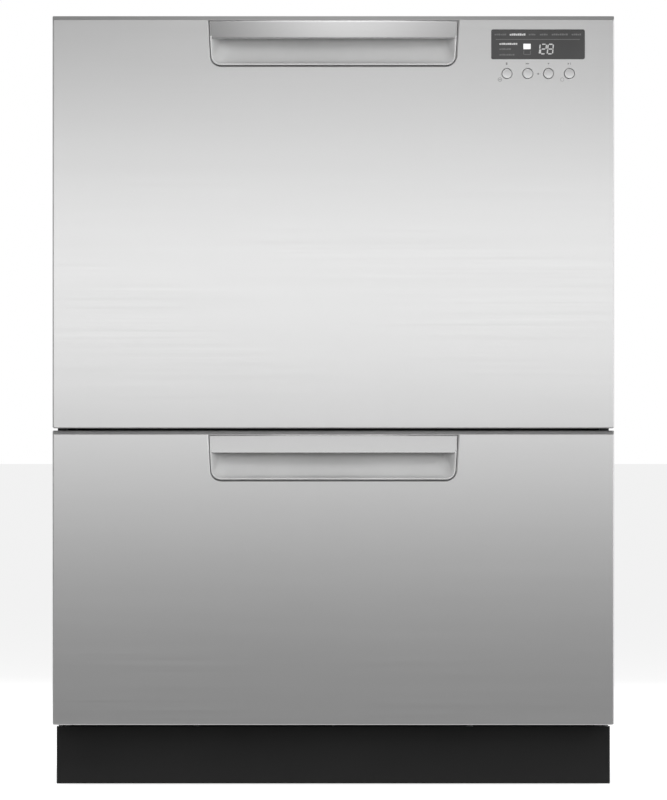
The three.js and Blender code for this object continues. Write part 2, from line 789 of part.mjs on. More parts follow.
// The handle bar bows forward across the top of the recess and leans back towards its top edge.
function handleBar(top) {
  const z = top + handleTop;
  const half = handleHalfTop - handleRim - seat;
  const steps = 6;
  const section = (u) => {
    const foot = faceY - barCrown * (1 - u * u);
    const head = foot + barLean;
    return [
      [foot, z - barHeight + barSoftEdge],
      [foot + barSoftEdge, z - barHeight],
      [foot + barThickness, z - barHeight],
      [head + barThickness, z],
      [head + barSoftEdge, z],
      [head, z - barSoftEdge],
    ].map(([y, v]) => [u * half, y, v]);
  };
  return loft(Array.from({ length: steps + 1 }, (_, i) => section(-1 + (2 * i) / steps)));
}

// The inner panel closes the back of a front. The upper one has a pod for the controls.
function innerPanel(foot, top, hasControls) {
  const half = halfWidth - skinSheet - seat;
  const [low, high] = [foot + skinSheet + seat, top - skinSheet - seat];
  const plateY = frontBackY - 2.5;
  const plate = box(-half, half, plateY, frontBackY, low, high);
  const rimWall = 2;
  const rimFront = plateY - 9;
  const frame = prism('y', rectangle(-half, half, low, high), rimFront, plateY + 0.1,
    [rectangle(-half + rimWall, half - rimWall, low + rimWall, high - rimWall).reverse()]);
  if (!hasControls) return join([plate, frame]);
  const podHalf = windowWidth / 2 + lensLip + podWall + 3;
  const podLow = top - buttonDrop - 14;
  const podHigh = top - topBevel - 4;
  const podLoop = (inset) =>
    rectangle(windowX - podHalf + inset, windowX + podHalf - inset, podLow + inset, podHigh - inset);
  const pod = prism('y', podLoop(0), faceY + 1.6, plateY + 0.1, [podLoop(podWall).reverse()]);
  const guideY = faceY + 7;
  const guide = box(windowX - podHalf + 1, windowX + podHalf - 1,
    guideY, guideY + 2, podLow + 1, podHigh - 1);
  return cut(join([plate, frame, pod, guide]),
    buttonRow(buttonStem + running, guideY - 1, guideY + 3, top, 8));
}

function controls(top, group) {
  const behindSkin = faceY + skinSheet + seat;
  const lensBack = faceY + lensThickness;
  const outline = (grow) =>
    roundedRect(windowWidth / 2 + grow, windowHeight / 2 + grow, windowCorner, 2, windowX, top - windowDrop);
  const lens = join([
    prism('y', outline(-seat), faceY + 0.2, lensBack),
    prism('y', outline(lensLip), behindSkin, lensBack),
  ]);
  group.add(piece('display_lens', lens, materials.lensPlastic));
  buttonX.forEach((x, i) => {
    const capY = faceY - buttonProud;
    const body = turned('y', [
      [0, capY],
      [buttonRadius - 1, capY],
      [buttonRadius, capY + 0.6],
      [buttonRadius, behindSkin],
      [buttonRadius + buttonLip, behindSkin],
      [buttonRadius + buttonLip, behindSkin + 1.4],
      [buttonStem, behindSkin + 1.4],
      [buttonStem, faceY + 11],
      [0, faceY + 11],
    ], [x, 0, top - buttonDrop], 10);
    group.add(piece(`button_${i + 1}`, body, materials.buttonMetal));
  });
}

// ---- Tub ------------------------------------------------------------------------------------

// The tub's plan at a level, inset from the top of its wall.
const tubPlan = (inset) =>
  roundedRect(wallHalfX - inset, wallHalfY - inset, tubCorner - inset / 2, 3, 0, tubCentreY);

const rackLedgeY = [-1, 1].map((s) => tubCentreY + s * (straightHalfY - ledgeInset));

const doorCentreX = -dispenserWidth / 2 + doorWidth / 2 + doorInset;
const doorFoot = -dispenserDrop - dispenserHeight + doorRise; // hinge line of the dispenser door
const dispenserFaceY = rimFrontY + rimFlange + dispenserDepth;
const doorY = dispenserFaceY + seat;
const doorAxisY = doorY + 2.2;

// The dispenser housing, which is clipped to the tub's front wall and follows its draft: a block with
// a rinse aid cap, two ears for the door and the detergent cup.
function dispenserHousing(floor) {
  const [top, foot] = [-dispenserDrop, -dispenserDrop - dispenserHeight];
  const wallFoot = floor + tubWall + tubFootRadius;
  const wallAt = (z) =>
    rimFrontY + rimFlange + tubWall + (tubDraft * (1 - z)) / (1 - wallFoot) + seat;
  const wall = prism('x', [
    [rimFrontY, foot - 1],
    [wallAt(foot - 1), foot - 1],
    [wallAt(top + 1), top + 1],
    [rimFrontY, top + 1],
  ], -dispenserWidth, dispenserWidth);
  const block = prism('y', roundedRect(dispenserWidth / 2, dispenserHeight / 2, 10, 2, 0, (top + foot) / 2),
    rimFrontY + rimFlange + tubWall, dispenserFaceY);
  const rinseCap = turned('y',
    [[0, -1], [rinseCapRadius, -1], [rinseCapRadius, 2], [rinseCapRadius - 2, 4], [0, 4]],
    [dispenserWidth / 2 - 2 * rinseCapRadius, dispenserFaceY, (top + foot) / 2], 8);
  const earX = [-1, 1].map((s) => doorCentreX + s * (doorWidth / 2 + 2.5));
  const ears = earX.map((x) =>
    box(x - 2, x + 2, dispenserFaceY - 1, doorAxisY + 3, doorFoot - 3.5, doorFoot + 3.5));
  const pinHoles = earX.map((x) => bar('x', doorPin + pinGap, x - 3, x + 3, [0, doorAxisY, doorFoot], 6));
  const cupHalf = doorWidth / 2 - cupMargin;
  const cup = box(doorCentreX - cupHalf, doorCentreX + cupHalf, dispenserFaceY - cupDepth, dispenserFaceY + 1,
    doorFoot + cupMargin + 2, doorFoot + doorHeight - cupMargin + 1);
  return cut(join([block, rinseCap, ...ears]), [wall, cup, ...pinHoles]);
}

// The tub's moulded shell, with the sump drawn down in its floor and the spout's hole in that.
function tubShell(floor) {
  const outer = loft([
    at(floor, tubPlan(tubDraft + tubFootRadius)),
    at(floor + tubFootRadius * 0.3, tubPlan(tubDraft + tubFootRadius * 0.3)),
    at(floor + tubFootRadius, tubPlan(tubDraft)),
    at(-rimThickness, tubPlan(0)),
    at(-rimThickness, tubPlan(-rimFlange)),
    at(0, tubPlan(-rimFlange)),
  ]);
  const inner = loft([
    at(floor + tubWall, tubPlan(tubDraft + tubFootRadius + tubWall)),
    at(floor + tubWall + tubFootRadius * 0.3, tubPlan(tubDraft + tubWall + tubFootRadius * 0.3)),
    at(floor + tubWall + tubFootRadius, tubPlan(tubDraft + tubWall)),
    at(1, tubPlan(tubWall)),
  ]);
  const basin = (grow, low) =>
    turned('z', [[0, low], [sumpRadius - 4 - tubWall + grow, low], [sumpRadius + grow, low + sumpDepth],
      [sumpRadius + grow, low + sumpDepth + 1], [0, low + sumpDepth + 1]], [0, tubCentreY, 0], 16);
  const outlet = bar('z', spoutRadius + 2, floor - sumpDepth - 1, floor, [0, tubCentreY, 0], 12);
  return cut(join([outer, basin(tubWall, floor - sumpDepth)]),
    [inner, basin(0, floor - sumpDepth + tubWall), outlet]);
}

function tub(floor) {
  const ledgeTop = floor + tubWall + rackLift - seat;
  const onBothSides = (places, make) => places.flatMap((y) => Object.values(SIDES).map((s) => make(s, y)));
  const foot = wallHalfX - tubDraft;
  const ledges = onBothSides(rackLedgeY, (s, y) =>
    box(s * foot, s * (foot - tubWall - rackLedge), y - 15, y + 15, ledgeTop - 9, ledgeTop));
  const bossY = [-1, 0, 1].map((end) => tubCentreY + end * (straightHalfY - bossInset));
  const runnerBosses = onBothSides(bossY, (s, y) =>
    box(s * foot, s * (runnerFaceX - seat), y - 12, y + 12,
      -runnerDrop - innerHalf + 2, -runnerDrop + innerHalf - 2));
  return join([tubShell(floor), ...ledges, ...runnerBosses]);
}

// The dispenser door hangs on two pins along its lower edge.
function dispenserDoor() {
  const [x0, x1] = [doorCentreX - doorWidth / 2, doorCentreX + doorWidth / 2];
  const plate = prism('y',
    roundedRect(doorWidth / 2, doorHeight / 2, 4, 2, doorCentreX, doorFoot + doorHeight / 2),
    doorY, doorY + doorSheet);
  const grip = prism('x', [
    [doorY + 1, doorFoot + doorHeight - 1],
    [doorY + 1, doorFoot + doorHeight - 9],
    [doorY + doorSheet + 3.5, doorFoot + doorHeight - 4],
    [doorY + doorSheet + 3.5, doorFoot + doorHeight - 2],
  ], doorCentreX - 14, doorCentreX + 14);
  const knuckle = bar('x', doorPin + 0.5, x0 + 0.2, x1 - 0.2, [0, doorAxisY, doorFoot], 8);
  const pins = bar('x', doorPin, x0 - 4, x1 + 4, [0, doorAxisY, doorFoot], 8);
  return join([plate, grip, knuckle, pins]);
}

// ---- Wash system ----------------------------------------------------------------------------

// The wash motor hangs under the sump, and its spout comes up through the tub to carry the arm.
function washMotor(floor) {
  const top = floor - sumpDepth - seat;
  const foot = top - motorDepth;
  const shoulder = floor + tubWall + armLift;
  const centre = [0, tubCentreY, 0];
  const body = turned('z', [
    [0, foot],
    [66, foot],
    [66, foot + 14],
    [84, foot + 16],
    [84, foot + 21],
    [104, top - 5],
    [104, top],
    [spoutRadius, top],
    [spoutRadius, shoulder],
    [neckRadius, shoulder],
    [neckRadius, shoulder + 24],
    [neckRadius - 2, shoulder + 26],
    [0, shoulder + 26],
  ], centre, 10);
  const pump = bar('y', 11, tubCentreY + 60, tubCentreY + 118, [44, 0, foot + 12], 8);
  const outlet = bar('y', 6, tubCentreY + 116, tubCentreY + 134, [44, 0, foot + 12], 6);
  const connector = box(-70, -34, tubCentreY + 55, tubCentreY + 82, foot + 2, foot + 18);
  const ribCount = 5;
  const ribs = Array.from({ length: ribCount }, (_, i) => {
    const rib = new THREE.BoxGeometry(18, 2.4, 7);
    rib.translate(74, 0, foot + 18);
    rib.rotateZ((2 * Math.PI * i) / ribCount + 0.2);
    rib.translate(0, tubCentreY, 0);
    return solid(rib);
  });
  return join([body, pump, outlet, connector, ...ribs]);
}

// The filter plate: a slotted disc over the sump, with the drain filter's collar and grip in it.
function filterPlate(floor) {
  const low = floor + tubWall + seat;
  const circle = (r, n) => arc(0, tubCentreY, r, 0, 4, n).slice(0, n);
  const [slotInner, slotOuter, slotCount] = [50, 108, 12];
  const slot = (middle) =>
    [[slotInner, -1], [slotOuter, -1], [slotOuter, 1], [slotInner, 1]].map(([r, side]) => {
      const angle = middle + (side * 3.6) / r;
      return [r * Math.cos(angle), tubCentreY + r * Math.sin(angle)];
    });
  const slots = Array.from({ length: slotCount }, (_, i) => slot(((i + 0.5) * 2 * Math.PI) / slotCount))
    .filter(([[x, y]]) => x > -30 || Math.abs(y - tubCentreY) > 30);
  const disc = prism('z', circle(filterRadius, 20), low, low + filterSheet,
    [circle(spoutRadius + 1.5, 12).reverse()]);
  const slotted = cut(disc, slots.map((s) => prism('z', s, low - 1, low + filterSheet + 1)));
  const collarAt = [-88, tubCentreY, 0];
  const collar = turned('z',
    [[0, low], [26, low], [26, low + 7], [22, low + 7], [22, low + 3.5], [0, low + 3.5]], collarAt, 10);
  const grip = box(collarAt[0] - 24, collarAt[0] + 24, tubCentreY - 2, tubCentreY + 2, low + 1, low + 11);
  return join([slotted, collar, grip]);
}

// The spray arm: two curved blades on a hub, with raised nozzles along them.
function sprayArm(floor) {
  const low = floor + tubWall + armLift + running;
  const reach = Math.min(wallHalfX, wallHalfY) - tubDraft - tubWall - armClearance;
  const steps = 5;
  const edge = (side) =>
    Array.from({ length: steps + 1 }, (_, i) => {
      const u = -1 + (2 * i) / steps;
      const taper = (armWidth / 2) * (1 - 0.42 * Math.abs(u));
      return [u * (reach - taper * 0.6), side * taper + 16 * Math.sin(u * Math.PI)];
    });
  const tip = (armWidth / 2) * 0.58;
  const plan = [
    ...edge(-1),
    [reach - tip * 0.1, -tip * 0.45],
    [reach - tip * 0.1, tip * 0.45],
    ...edge(1).reverse(),
    [-reach + tip * 0.1, tip * 0.45],
    [-reach + tip * 0.1, -tip * 0.45],
  ];
  const crown = 2.5;
  const shape = new THREE.Shape(plan.map(([x, y]) => new THREE.Vector2(x, y)));
  const blades = new THREE.ExtrudeGeometry(shape, {
    depth: armThickness - 2 * crown,
    bevelThickness: crown,
    bevelSize: crown,
    bevelOffset: -crown,
    bevelSegments: 1,
  });
  blades.translate(0, tubCentreY, low + 7 + crown);
  const hub = bar('z', hubRadius, low, low + armThickness + 9, [0, tubCentreY, 0], 12);
  const bore = bar('z', neckRadius + neckGap, low - 1, low + armThickness + 11, [0, tubCentreY, 0], 12);
  const nozzleAt = [0.34, 0.58, 0.84].flatMap((u) => [u, -u]);
  const nozzles = nozzleAt.map((u) =>
    bar('z', 4.5, low + 6 + armThickness, low + armThickness + 9,
      [u * reach, tubCentreY + 16 * Math.sin(u * Math.PI), 0], 6),
  );
  return cut(join([solid(blades), hub, ...nozzles]), [bore]);
}

// ---- Racks ----------------------------------------------------------------------------------

const rackHalfX = wallHalfX - tubDraft - tubWall - rackGap;
const rackHalfY = wallHalfY - tubDraft - tubWall - rackGap + 2;
const cupLevel = -cupRackWidth - cupRackRimGap; // hinge line of the cup rack below the rim
const cupPost = 9; // width of a post that carries the cup rack
const cupHingeX = -rackHalfX + cupPost / 2;
const cupHingePin = 2.2;
const cupPostY = [-1, 1].map((s) => tubCentreY + s * (rackHalfY - cupPostInset));
const tineStart = -rackHalfX + 28;
const basketX = rackHalfX - basketWidth / 2 - 10;
const tineEnd = basketX - basketWidth / 2 - 22;
const cellPitchY = (2 * rackHalfY - rackWire) / rackCells[1];
const rowY = (row) => tubCentreY - rackHalfY + rackWire / 2 + row * cellPitchY;
const foldRowY = rowY(2);
const tinePitch = (tineEnd - tineStart) / (tineCount - 1);
const tineX = Array.from({ length: tineCount }, (_, i) => tineStart + i * tinePitch);
const foldPin = 2;

// A tapered three-sided tine standing on a level.
function tine(x, y, z, tall) {
  const geometry = new THREE.CylinderGeometry(tineTip, tineFoot, tall, 3);
  geometry.rotateX(Math.PI / 2);
  geometry.translate(x, y, z + tall / 2);
  return solid(geometry);
}

const rackFloorTop = (floor) => floor + tubWall + rackLift + rackWire;
const tineHeight = (floor) => cupLevel - rackFloorTop(floor) - tineClearance;

// The base rack's frame: a floor grid with open sides.
function rackFrame(low) {
  const top = low + rackWire;
  const rail = top + rackWallHeight;
  const [y0, y1] = [tubCentreY - rackHalfY, tubCentreY + rackHalfY];
  const blank = box(-rackHalfX, rackHalfX, y0, y1, low, rail);
  const inside = box(-rackHalfX + rackWire, rackHalfX - rackWire,
    y0 + rackWire, y1 - rackWire, top, rail + 1);
  const grid = cells([-rackHalfX, rackHalfX], [y0, y1], [low - 1, top + 1], rackCells, rackWire);
  const windowZ = [top, rail - rackWire];
  const past = 2 * rackWire; // the windows are cut through both walls at once
  const sideWindows = cells([-rackHalfX - past, rackHalfX + past], [y0, y1], windowZ, [1, 3], rackWire);
  const endWindows = cells([-rackHalfX, rackHalfX], [y0 - past, y1 + past], windowZ, [3, 1], rackWire);
  return cut(blank, [inside, ...grid, ...sideWindows, ...endWindows]);
}

// The base rack: the frame, fixed tines along its bars, ears for the folding tines and posts for
// the cup rack.
function baseRack(floor) {
  const low = floor + tubWall + rackLift;
  const top = low + rackWire;
  const posts = cupPostY.map((y) =>
    box(-rackHalfX, -rackHalfX + cupPost, y - 2, y + 2, low, cupLevel + cupPost / 2),
  );
  const postHoles = cupPostY.map((y) =>
    bar('y', cupHingePin + pinGap, y - 3, y + 3, [cupHingeX, 0, cupLevel], 6),
  );
  const tall = tineHeight(floor);
  const fixedRows = [1, 3, 4].flatMap((row) => tineX.map((x) => tine(x, rowY(row), top - 1, tall + 1)));
  const foldZ = top + foldPin + 1.5;
  const earX = [tineStart - 12, tineEnd + 12];
  const ears = earX.map((x) => box(x - 2, x + 2, foldRowY - 4, foldRowY + 4, low, foldZ + 4));
  const earHoles = earX.map((x) => bar('x', foldPin + pinGap, x - 3, x + 3, [0, foldRowY, foldZ], 6));
  return cut(join([rackFrame(low), ...posts, ...fixedRows, ...ears]), [...postHoles, ...earHoles]);
}

// The folding row of tines turns on a rod between two ears of the base rack.
function tineRow(floor) {
  const z = rackFloorTop(floor) + foldPin + 1.5;
  const rod = bar('x', foldPin, tineStart - 13, tineEnd + 13, [0, foldRowY, z], 8);
  const between = tineX.slice(1).map((x) => x - tinePitch / 2);
  return join([rod, ...between.map((x) => tine(x, foldRowY, z, tineHeight(floor) - foldPin))]);
}

// The cup rack: a shallow grid tray that folds up against the tub's left wall.
function cupRack() {
  const x0 = cupHingeX - 2;
  const x1 = cupHingeX + cupRackWidth;
  const [y0, y1] = [cupPostY[0] + 2 + running + 0.6, cupPostY[1] - 2 - running - 0.6];
  const w = cupRackWire;
  const [low, high] = [cupLevel - w / 2, cupLevel + w / 2];
  const tray = cut(box(x0, x1, y0, y1, low, high), cells([x0, x1], [y0, y1], [low - 1, high + 1], [2, 4], w));
  const lip = prism('y', [
    [x1 - w, cupLevel],
    [x1, cupLevel],
    [x1 + 5, cupLevel + 16],
    [x1 + 1, cupLevel + 16],
  ], y0, y1);
  const pins = bar('y', cupHingePin, y0 - 4.4, y1 + 4.4, [cupHingeX, 0, cupLevel], 8);
  return join([tray, lip, pins]);
}

// The cutlery basket: two open bays with slotted walls and a handle between them.
function cutleryBasket(floor) {
  const low = rackFloorTop(floor) + seat;
  const high = low + basketHeight;
  const y0 = tubCentreY - basketLength / 2 + 40;
  const y1 = y0 + basketLength;
  const [x0, x1] = [basketX - basketWidth / 2, basketX + basketWidth / 2];
  const body = box(x0, x1, y0, y1, low, high);
  const middle = (y0 + y1) / 2;
  const bays = [[y0 + basketWall, middle - basketWall / 2], [middle + basketWall / 2, y1 - basketWall]].map(
    ([a, b]) => box(x0 + basketWall, x1 - basketWall, a, b, low + basketWall, high + 1),
  );
  const slotCount = 8;
  const slotPitch = basketLength / slotCount;
  const slots = Array.from({ length: slotCount }, (_, i) => {
    const y = y0 + slotPitch * (i + 0.5);
    return box(x0 - 1, x1 + 1, y - 9, y + 9, low + 14, high - 22);
  });
  const handleWall = 3;
  const handle = cut(
    box(x0 + 6, x1 - 6, middle - handleWall / 2, middle + handleWall / 2, high - 30, high + 12),
    [box(x0 + 14, x1 - 14, middle - handleWall, middle + handleWall, high - 18, high + 5)],
  );
  return join([cut(body, [...bays, ...slots.filter((_, i) => i !== 3 && i !== 4)]), handle]);
}

// ---- One drawer, its lid and its runners, about its tub's rim ---------------------------------

function drawer(name, rim, frontFoot, frontTop, tubDepth, hasControls) {
  const group = new THREE.Group();
  group.position.z = rim;
  const [foot, top] = [frontFoot - rim, frontTop - rim];
  const floor = -tubDepth;
  const add = (part, body, material) => group.add(piece(`${name}_${part}`, body, material));
  add('front_skin', frontSkin(foot, top, hasControls), materials.stainless);
  add('inner_panel', innerPanel(foot, top, hasControls), materials.panelPlastic);
  add('handle_cup', handleCup(top), materials.silverPlastic);
  add('handle_bar', handleBar(top), materials.satinBar);
  add('tub', tub(floor), materials.tubPlastic);
  add('dispenser_housing', dispenserHousing(floor), materials.panelPlastic);
  add('dispenser_door', dispenserDoor(), materials.panelPlastic);
  add('wash_motor', washMotor(floor), materials.motorPlastic);
  add('filter_plate', filterPlate(floor), materials.panelPlastic);
  add('spray_arm', sprayArm(floor), materials.armPlastic);
  add('base_rack', baseRack(floor), materials.rackPlastic);
  add('tine_row', tineRow(floor), materials.rackPlastic);
  add('cup_rack', cupRack(), materials.clearPlastic);
  if (hasControls) {
    controls(top, group);
    add('cutlery_basket', cutleryBasket(floor), materials.rackPlastic);
  }
  runners(name, group);
  lidSet(name, group);
  return group;
}

const lowerTubDepth = lowerRim - toeHeight - drawerFloorGap - belowFloor;
const upperTubDepth = upperRim - (lowerRim + lidTop) - lidHeadroom - belowFloor;

const dishwasher = new THREE.Group();
dishwasher.add(chassis());
dishwasher.add(drawer('lower', lowerRim, toeHeight, lowerFrontTop, lowerTubDepth, false));
dishwasher.add(drawer('upper', upperRim, upperFrontFoot, height, upperTubDepth, true));

export default dishwasher;
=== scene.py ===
"""Looks of a built-in dishwasher with two drawers: fronts, handles, controls and everything inside.

Shapes are written in millimetres and put into metres when a mesh is made.
"""

import json
from math import cos, pi, radians, sin, sqrt

import bmesh
import bpy
import numpy as np
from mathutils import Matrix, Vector
from mathutils.geometry import tessellate_polygon


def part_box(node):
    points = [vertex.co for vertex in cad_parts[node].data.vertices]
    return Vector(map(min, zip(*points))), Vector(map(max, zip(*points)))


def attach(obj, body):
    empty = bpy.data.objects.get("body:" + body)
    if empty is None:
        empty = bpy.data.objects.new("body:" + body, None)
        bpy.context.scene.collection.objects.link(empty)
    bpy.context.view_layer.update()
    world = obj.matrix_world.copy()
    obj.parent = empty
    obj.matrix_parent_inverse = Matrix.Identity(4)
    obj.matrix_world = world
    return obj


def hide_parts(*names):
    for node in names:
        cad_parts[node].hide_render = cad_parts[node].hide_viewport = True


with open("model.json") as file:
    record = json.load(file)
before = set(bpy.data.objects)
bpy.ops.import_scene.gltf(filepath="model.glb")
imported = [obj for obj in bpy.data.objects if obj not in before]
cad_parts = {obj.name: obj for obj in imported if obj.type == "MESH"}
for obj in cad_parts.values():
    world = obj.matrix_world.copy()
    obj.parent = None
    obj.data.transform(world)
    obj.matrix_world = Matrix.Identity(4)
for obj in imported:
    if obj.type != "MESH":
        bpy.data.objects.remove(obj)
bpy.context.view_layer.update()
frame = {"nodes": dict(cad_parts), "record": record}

MM = 0.001
DRAWERS, SIDES = ("lower", "upper"), ("left", "right")


def limits(node):
    """Lowest and highest x, y and z of a CAD node, in millimetres."""
    low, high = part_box(node)
    return [(low[i] / MM, high[i] / MM) for i in range(3)]


# ---- Camera ----

PHOTO_HEIGHT = 0.853  # metres of the front's plane from the top of the picture to its bottom
STAND_BACK, CAMERA_X, CAMERA_Z = 12.0, 0.0002, 0.4106
SENSOR = 36
FACE_Y = limits("upper_front_skin")[1][0]

camera = bpy.data.objects.new("camera", bpy.data.cameras.new("camera"))
bpy.context.scene.collection.objects.link(camera)
camera.location = (CAMERA_X, FACE_Y * MM - STAND_BACK, CAMERA_Z)
camera.rotation_euler = (radians(90), 0, 0)
camera.data.sensor_fit = "AUTO"
camera.data.sensor_width = SENSOR
camera.data.lens = SENSOR * STAND_BACK / PHOTO_HEIGHT
camera.data.clip_end = 200
bpy.context.scene.camera = camera
bpy.context.scene.view_settings.view_transform = "Standard"


# ---- Surfaces ----
# A part is (points, [blocks of faces]); a block is an array with one face in each row.

QUARTER = np.linspace(0, pi / 2, 7)
ROUND = [(1 - cos(a), 1 - sin(a)) for a in QUARTER]  # (gone in, still to go) along a quarter round
SEAM, SLIVER = 1e-6, 1e-7  # metres: points this close are one, and edges this short go


def skin(grid, around=False, along=False):
    """Quads between neighbours on a grid of points; around and along join its far sides."""
    grid = np.asarray(grid)
    m, n = grid.shape[:2]
    i = np.arange(m if along else m - 1)[:, None]
    j = np.arange(n if around else n - 1)[None, :]
    down, right = (i + 1) % m, (j + 1) % n
    corners = np.broadcast_arrays(i * n + j, i * n + right, down * n + right, down * n + j)
    return grid.reshape(-1, 3), [np.stack(corners, -1).reshape(-1, 4)]


def loft(rings):
    """Loops joined one to the next, with a flat cap on the first and the last."""
    points, faces = skin(rings, around=True)
    m, n = np.shape(rings)[:2]
    return points, [*faces, np.arange(n)[None, ::-1], (np.arange(n) + (m - 1) * n)[None]]


def cap(loop):
    """One flat face over a loop."""
    return loop, [np.arange(len(loop))[None]]


def about(middle, half):
    """A span to either side of a place."""
    return middle - half, middle + half


def rounded(x, z, radius, steps=6, inset=0.0):
    """Rectangle with circular corners: corner centre + radius·(cos a, sin a), a over a quarter turn."""
    (x0, x1), (z0, z1) = ((low + inset, high - inset) for low, high in (x, z))
    r = np.broadcast_to(np.asarray(radius, float), 4)[:, None]
    across = np.array([x1, x0, x0, x1], float)[:, None] + r * np.array([-1, 1, 1, -1])[:, None]
    up = np.array([z1, z1, z0, z0], float)[:, None] + r * np.array([-1, -1, 1, 1])[:, None]
    a = np.arange(4)[:, None] * pi / 2 + np.linspace(0, pi / 2, steps + 1)[None]
    return np.stack([across + r * np.cos(a), up + r * np.sin(a)], -1).reshape(-1, 2)


def circle(x, z, radius, sides=32):
    """Centre + radius·(cos a, sin a)."""
    a = np.arange(sides) * 2 * pi / sides
    return np.stack([x + radius * np.cos(a), z + radius * np.sin(a)], -1)


def facing(loop, y):
    """A loop of (x, z) stood up at depth y."""
    return np.insert(loop, 1, y, axis=1)


def level(loop, z):
    """A loop of (x, y) laid flat at height z."""
    return np.insert(loop, 2, z, axis=1)


def pierced(outer, holes, place, lay=facing):
    """Flat sheet between an outer loop and its holes, in triangles on those same points."""
    loops = [outer, *holes]
    corners = tessellate_polygon([[Vector((x, z, 0)) for x, z in loop] for loop in loops])
    return lay(np.concatenate(loops), place), [np.array(corners)]


def turned(profile, centre, sides=40, axis=2):
    """Each profile point (r, h) goes once round: r·cos a and r·sin a across the axis, h along it."""
    r, h = np.asarray(profile, float).T[:, :, None]
    a = np.arange(sides)[None] * 2 * pi / sides
    grid = np.empty((len(r), sides, 3))
    grid[..., axis] = h
    grid[..., (axis + 1) % 3] = r * np.cos(a)
    grid[..., (axis + 2) % 3] = r * np.sin(a)
    return skin(grid + np.asarray(centre, float), around=True)


def wire(path, radius, flat, sides=8, closed=False):
    """Round rod: across each point of a path a circle radius·(cos a·side + sin a·flat).

    flat is the direction that the path never runs in, and side is at right angles to it and to the
    path. Open ends shrink over two short rings to a small flat.
    """
    path = np.asarray(path, float)
    size = np.full(len(path), radius)
    if closed:
        run = np.roll(path, -1, 0) - np.roll(path, 1, 0)
    else:
        run = np.gradient(path, axis=0)
        first, last = (end / np.linalg.norm(end) for end in (run[0], run[-1]))
        reach, width = radius * np.array([[0.95], [0.6]]), radius * np.array([0.3, 0.8])
        path = np.vstack([path[0] - first * reach, path, path[-1] + last * reach[::-1]])
        run = np.vstack([run[:1], run[:1], run, run[-1:], run[-1:]])
        size = np.concatenate([width, size, width[::-1]])
    side = np.cross(run / np.linalg.norm(run, axis=1, keepdims=True), flat)
    side /= np.linalg.norm(side, axis=1, keepdims=True)
    a = np.arange(sides)[None, :, None] * 2 * pi / sides
    ring = np.cos(a) * side[:, None] + np.sin(a) * np.asarray(flat, float)
    grid = path[:, None] + size[:, None, None] * ring
    return skin(grid, around=True, along=True) if closed else loft(grid)


def repeated(part, offsets):
    """The same part at each offset."""
    points, faces = part
    offsets = np.asarray(offsets, float)
    step = len(points) * np.arange(len(offsets))[:, None, None]
    blocks = [(block[None] + step).reshape(-1, block.shape[1]) for block in faces]
    return (points[None] + offsets[:, None]).reshape(-1, 3), blocks


def plate(loop, y0, y1, edge=0.0):
    """Flat plate between two depths, its front edge drawn in by a quarter round."""
    centre = loop.mean(0)
    span = np.abs(loop - centre).max(0)
    return loft([facing(loop, y1), *(facing(centre + (loop - centre) * (1 - edge * draw / span), y0 + edge * rest)
                                     for draw, rest in (ROUND if edge else ROUND[:1]))])


def block(x, y, z, radius, along=2, edge=1.0, steps=4):
    """Rounded block: loops stacked along one axis, the first and last drawn in by a quarter round."""
    spans = [sorted(span) for span in (x, y, z)]
    low, high = spans.pop(along)
    eased = [(edge * rest, edge * draw) for draw, rest in ROUND[::2]]
    return loft([np.insert(rounded(*spans, max(radius - draw, 0.05), steps, draw), along, place, axis=1)
                 for draw, place in [*((d, low + up) for d, up in eased), *((d, high - up) for d, up in eased[::-1])]])


def bent(points, radius, steps=5):
    """A path with each inner right angle replaced by an arc: centre - r·cos t·on - r·sin t·back."""
    points = np.asarray(points, float)
    path = [points[:1]]
    for before, at, after in zip(points, points[1:], points[2:]):
        back, on = before - at, after - at
        back, on = back / np.linalg.norm(back), on / np.linalg.norm(on)
        t = np.linspace(0, pi / 2, steps + 1)[:, None]
        path.append(at + (back + on) * radius - on * radius * np.cos(t) - back * radius * np.sin(t))
    return np.concatenate([*path, points[-1:]])


def make(name, parts, body, slot=None, stands_for=None, finish=None, crease=38):
    """Puts parts into one mesh, closes its seams, turns its faces outwards and fixes it to a body."""
    points, polygons, base = [], [], 0
    for spots, blocks in parts:
        points.append(spots)
        for faces in blocks:
            polygons += (faces + base).tolist()
        base += len(spots)
    mesh = bpy.data.meshes.new(name)
    mesh.from_pydata((np.concatenate(points) * MM).tolist(), [], polygons)
    shell = bmesh.new()
    shell.from_mesh(mesh)
    bmesh.ops.remove_doubles(shell, verts=shell.verts, dist=SEAM)
    bmesh.ops.dissolve_degenerate(shell, edges=shell.edges, dist=SLIVER)
    bmesh.ops.recalc_face_normals(shell, faces=shell.faces)
    shell.to_mesh(mesh)
    shell.free()
    mesh.shade_smooth()
    mesh.set_sharp_from_angle(angle=radians(crease))
    mesh.materials.append(finish or FINISHES[slot])
    piece = bpy.data.objects.new(name, mesh)
    bpy.context.scene.collection.objects.link(piece)
    even = piece.modifiers.new("even_shading", "WEIGHTED_NORMAL")
    even.keep_sharp = True
    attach(piece, body)
    if stands_for:
        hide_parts(stands_for)


# ---- Finishes ----


def feed(tree, socket, source):
    """Links a socket to another one, or sets its value."""
    if isinstance(source, bpy.types.NodeSocket):
        tree.links.new(source, socket)
    else:
        socket.default_value = source


def add(tree, kind, *sources, **values):
    """The outputs of a new shader node.

    Sources feed its first sockets in turn; a value is one of its options or feeds the socket of that name.
    """
    node = tree.nodes.new("ShaderNode" + kind)
    for key in [key for key in values if key in node.bl_rna.properties]:
        setattr(node, key, values.pop(key))
    for socket, source in zip(node.inputs, sources):
        feed(tree, socket, source)
    for key, source in values.items():
        feed(tree, node.inputs[key.replace("_", " ")], source)
    return node.outputs


def maths(tree, operation, first, second=0.0):
    """The result of a sum on two values."""
    return add(tree, "Math", first, second, operation=operation)[0]


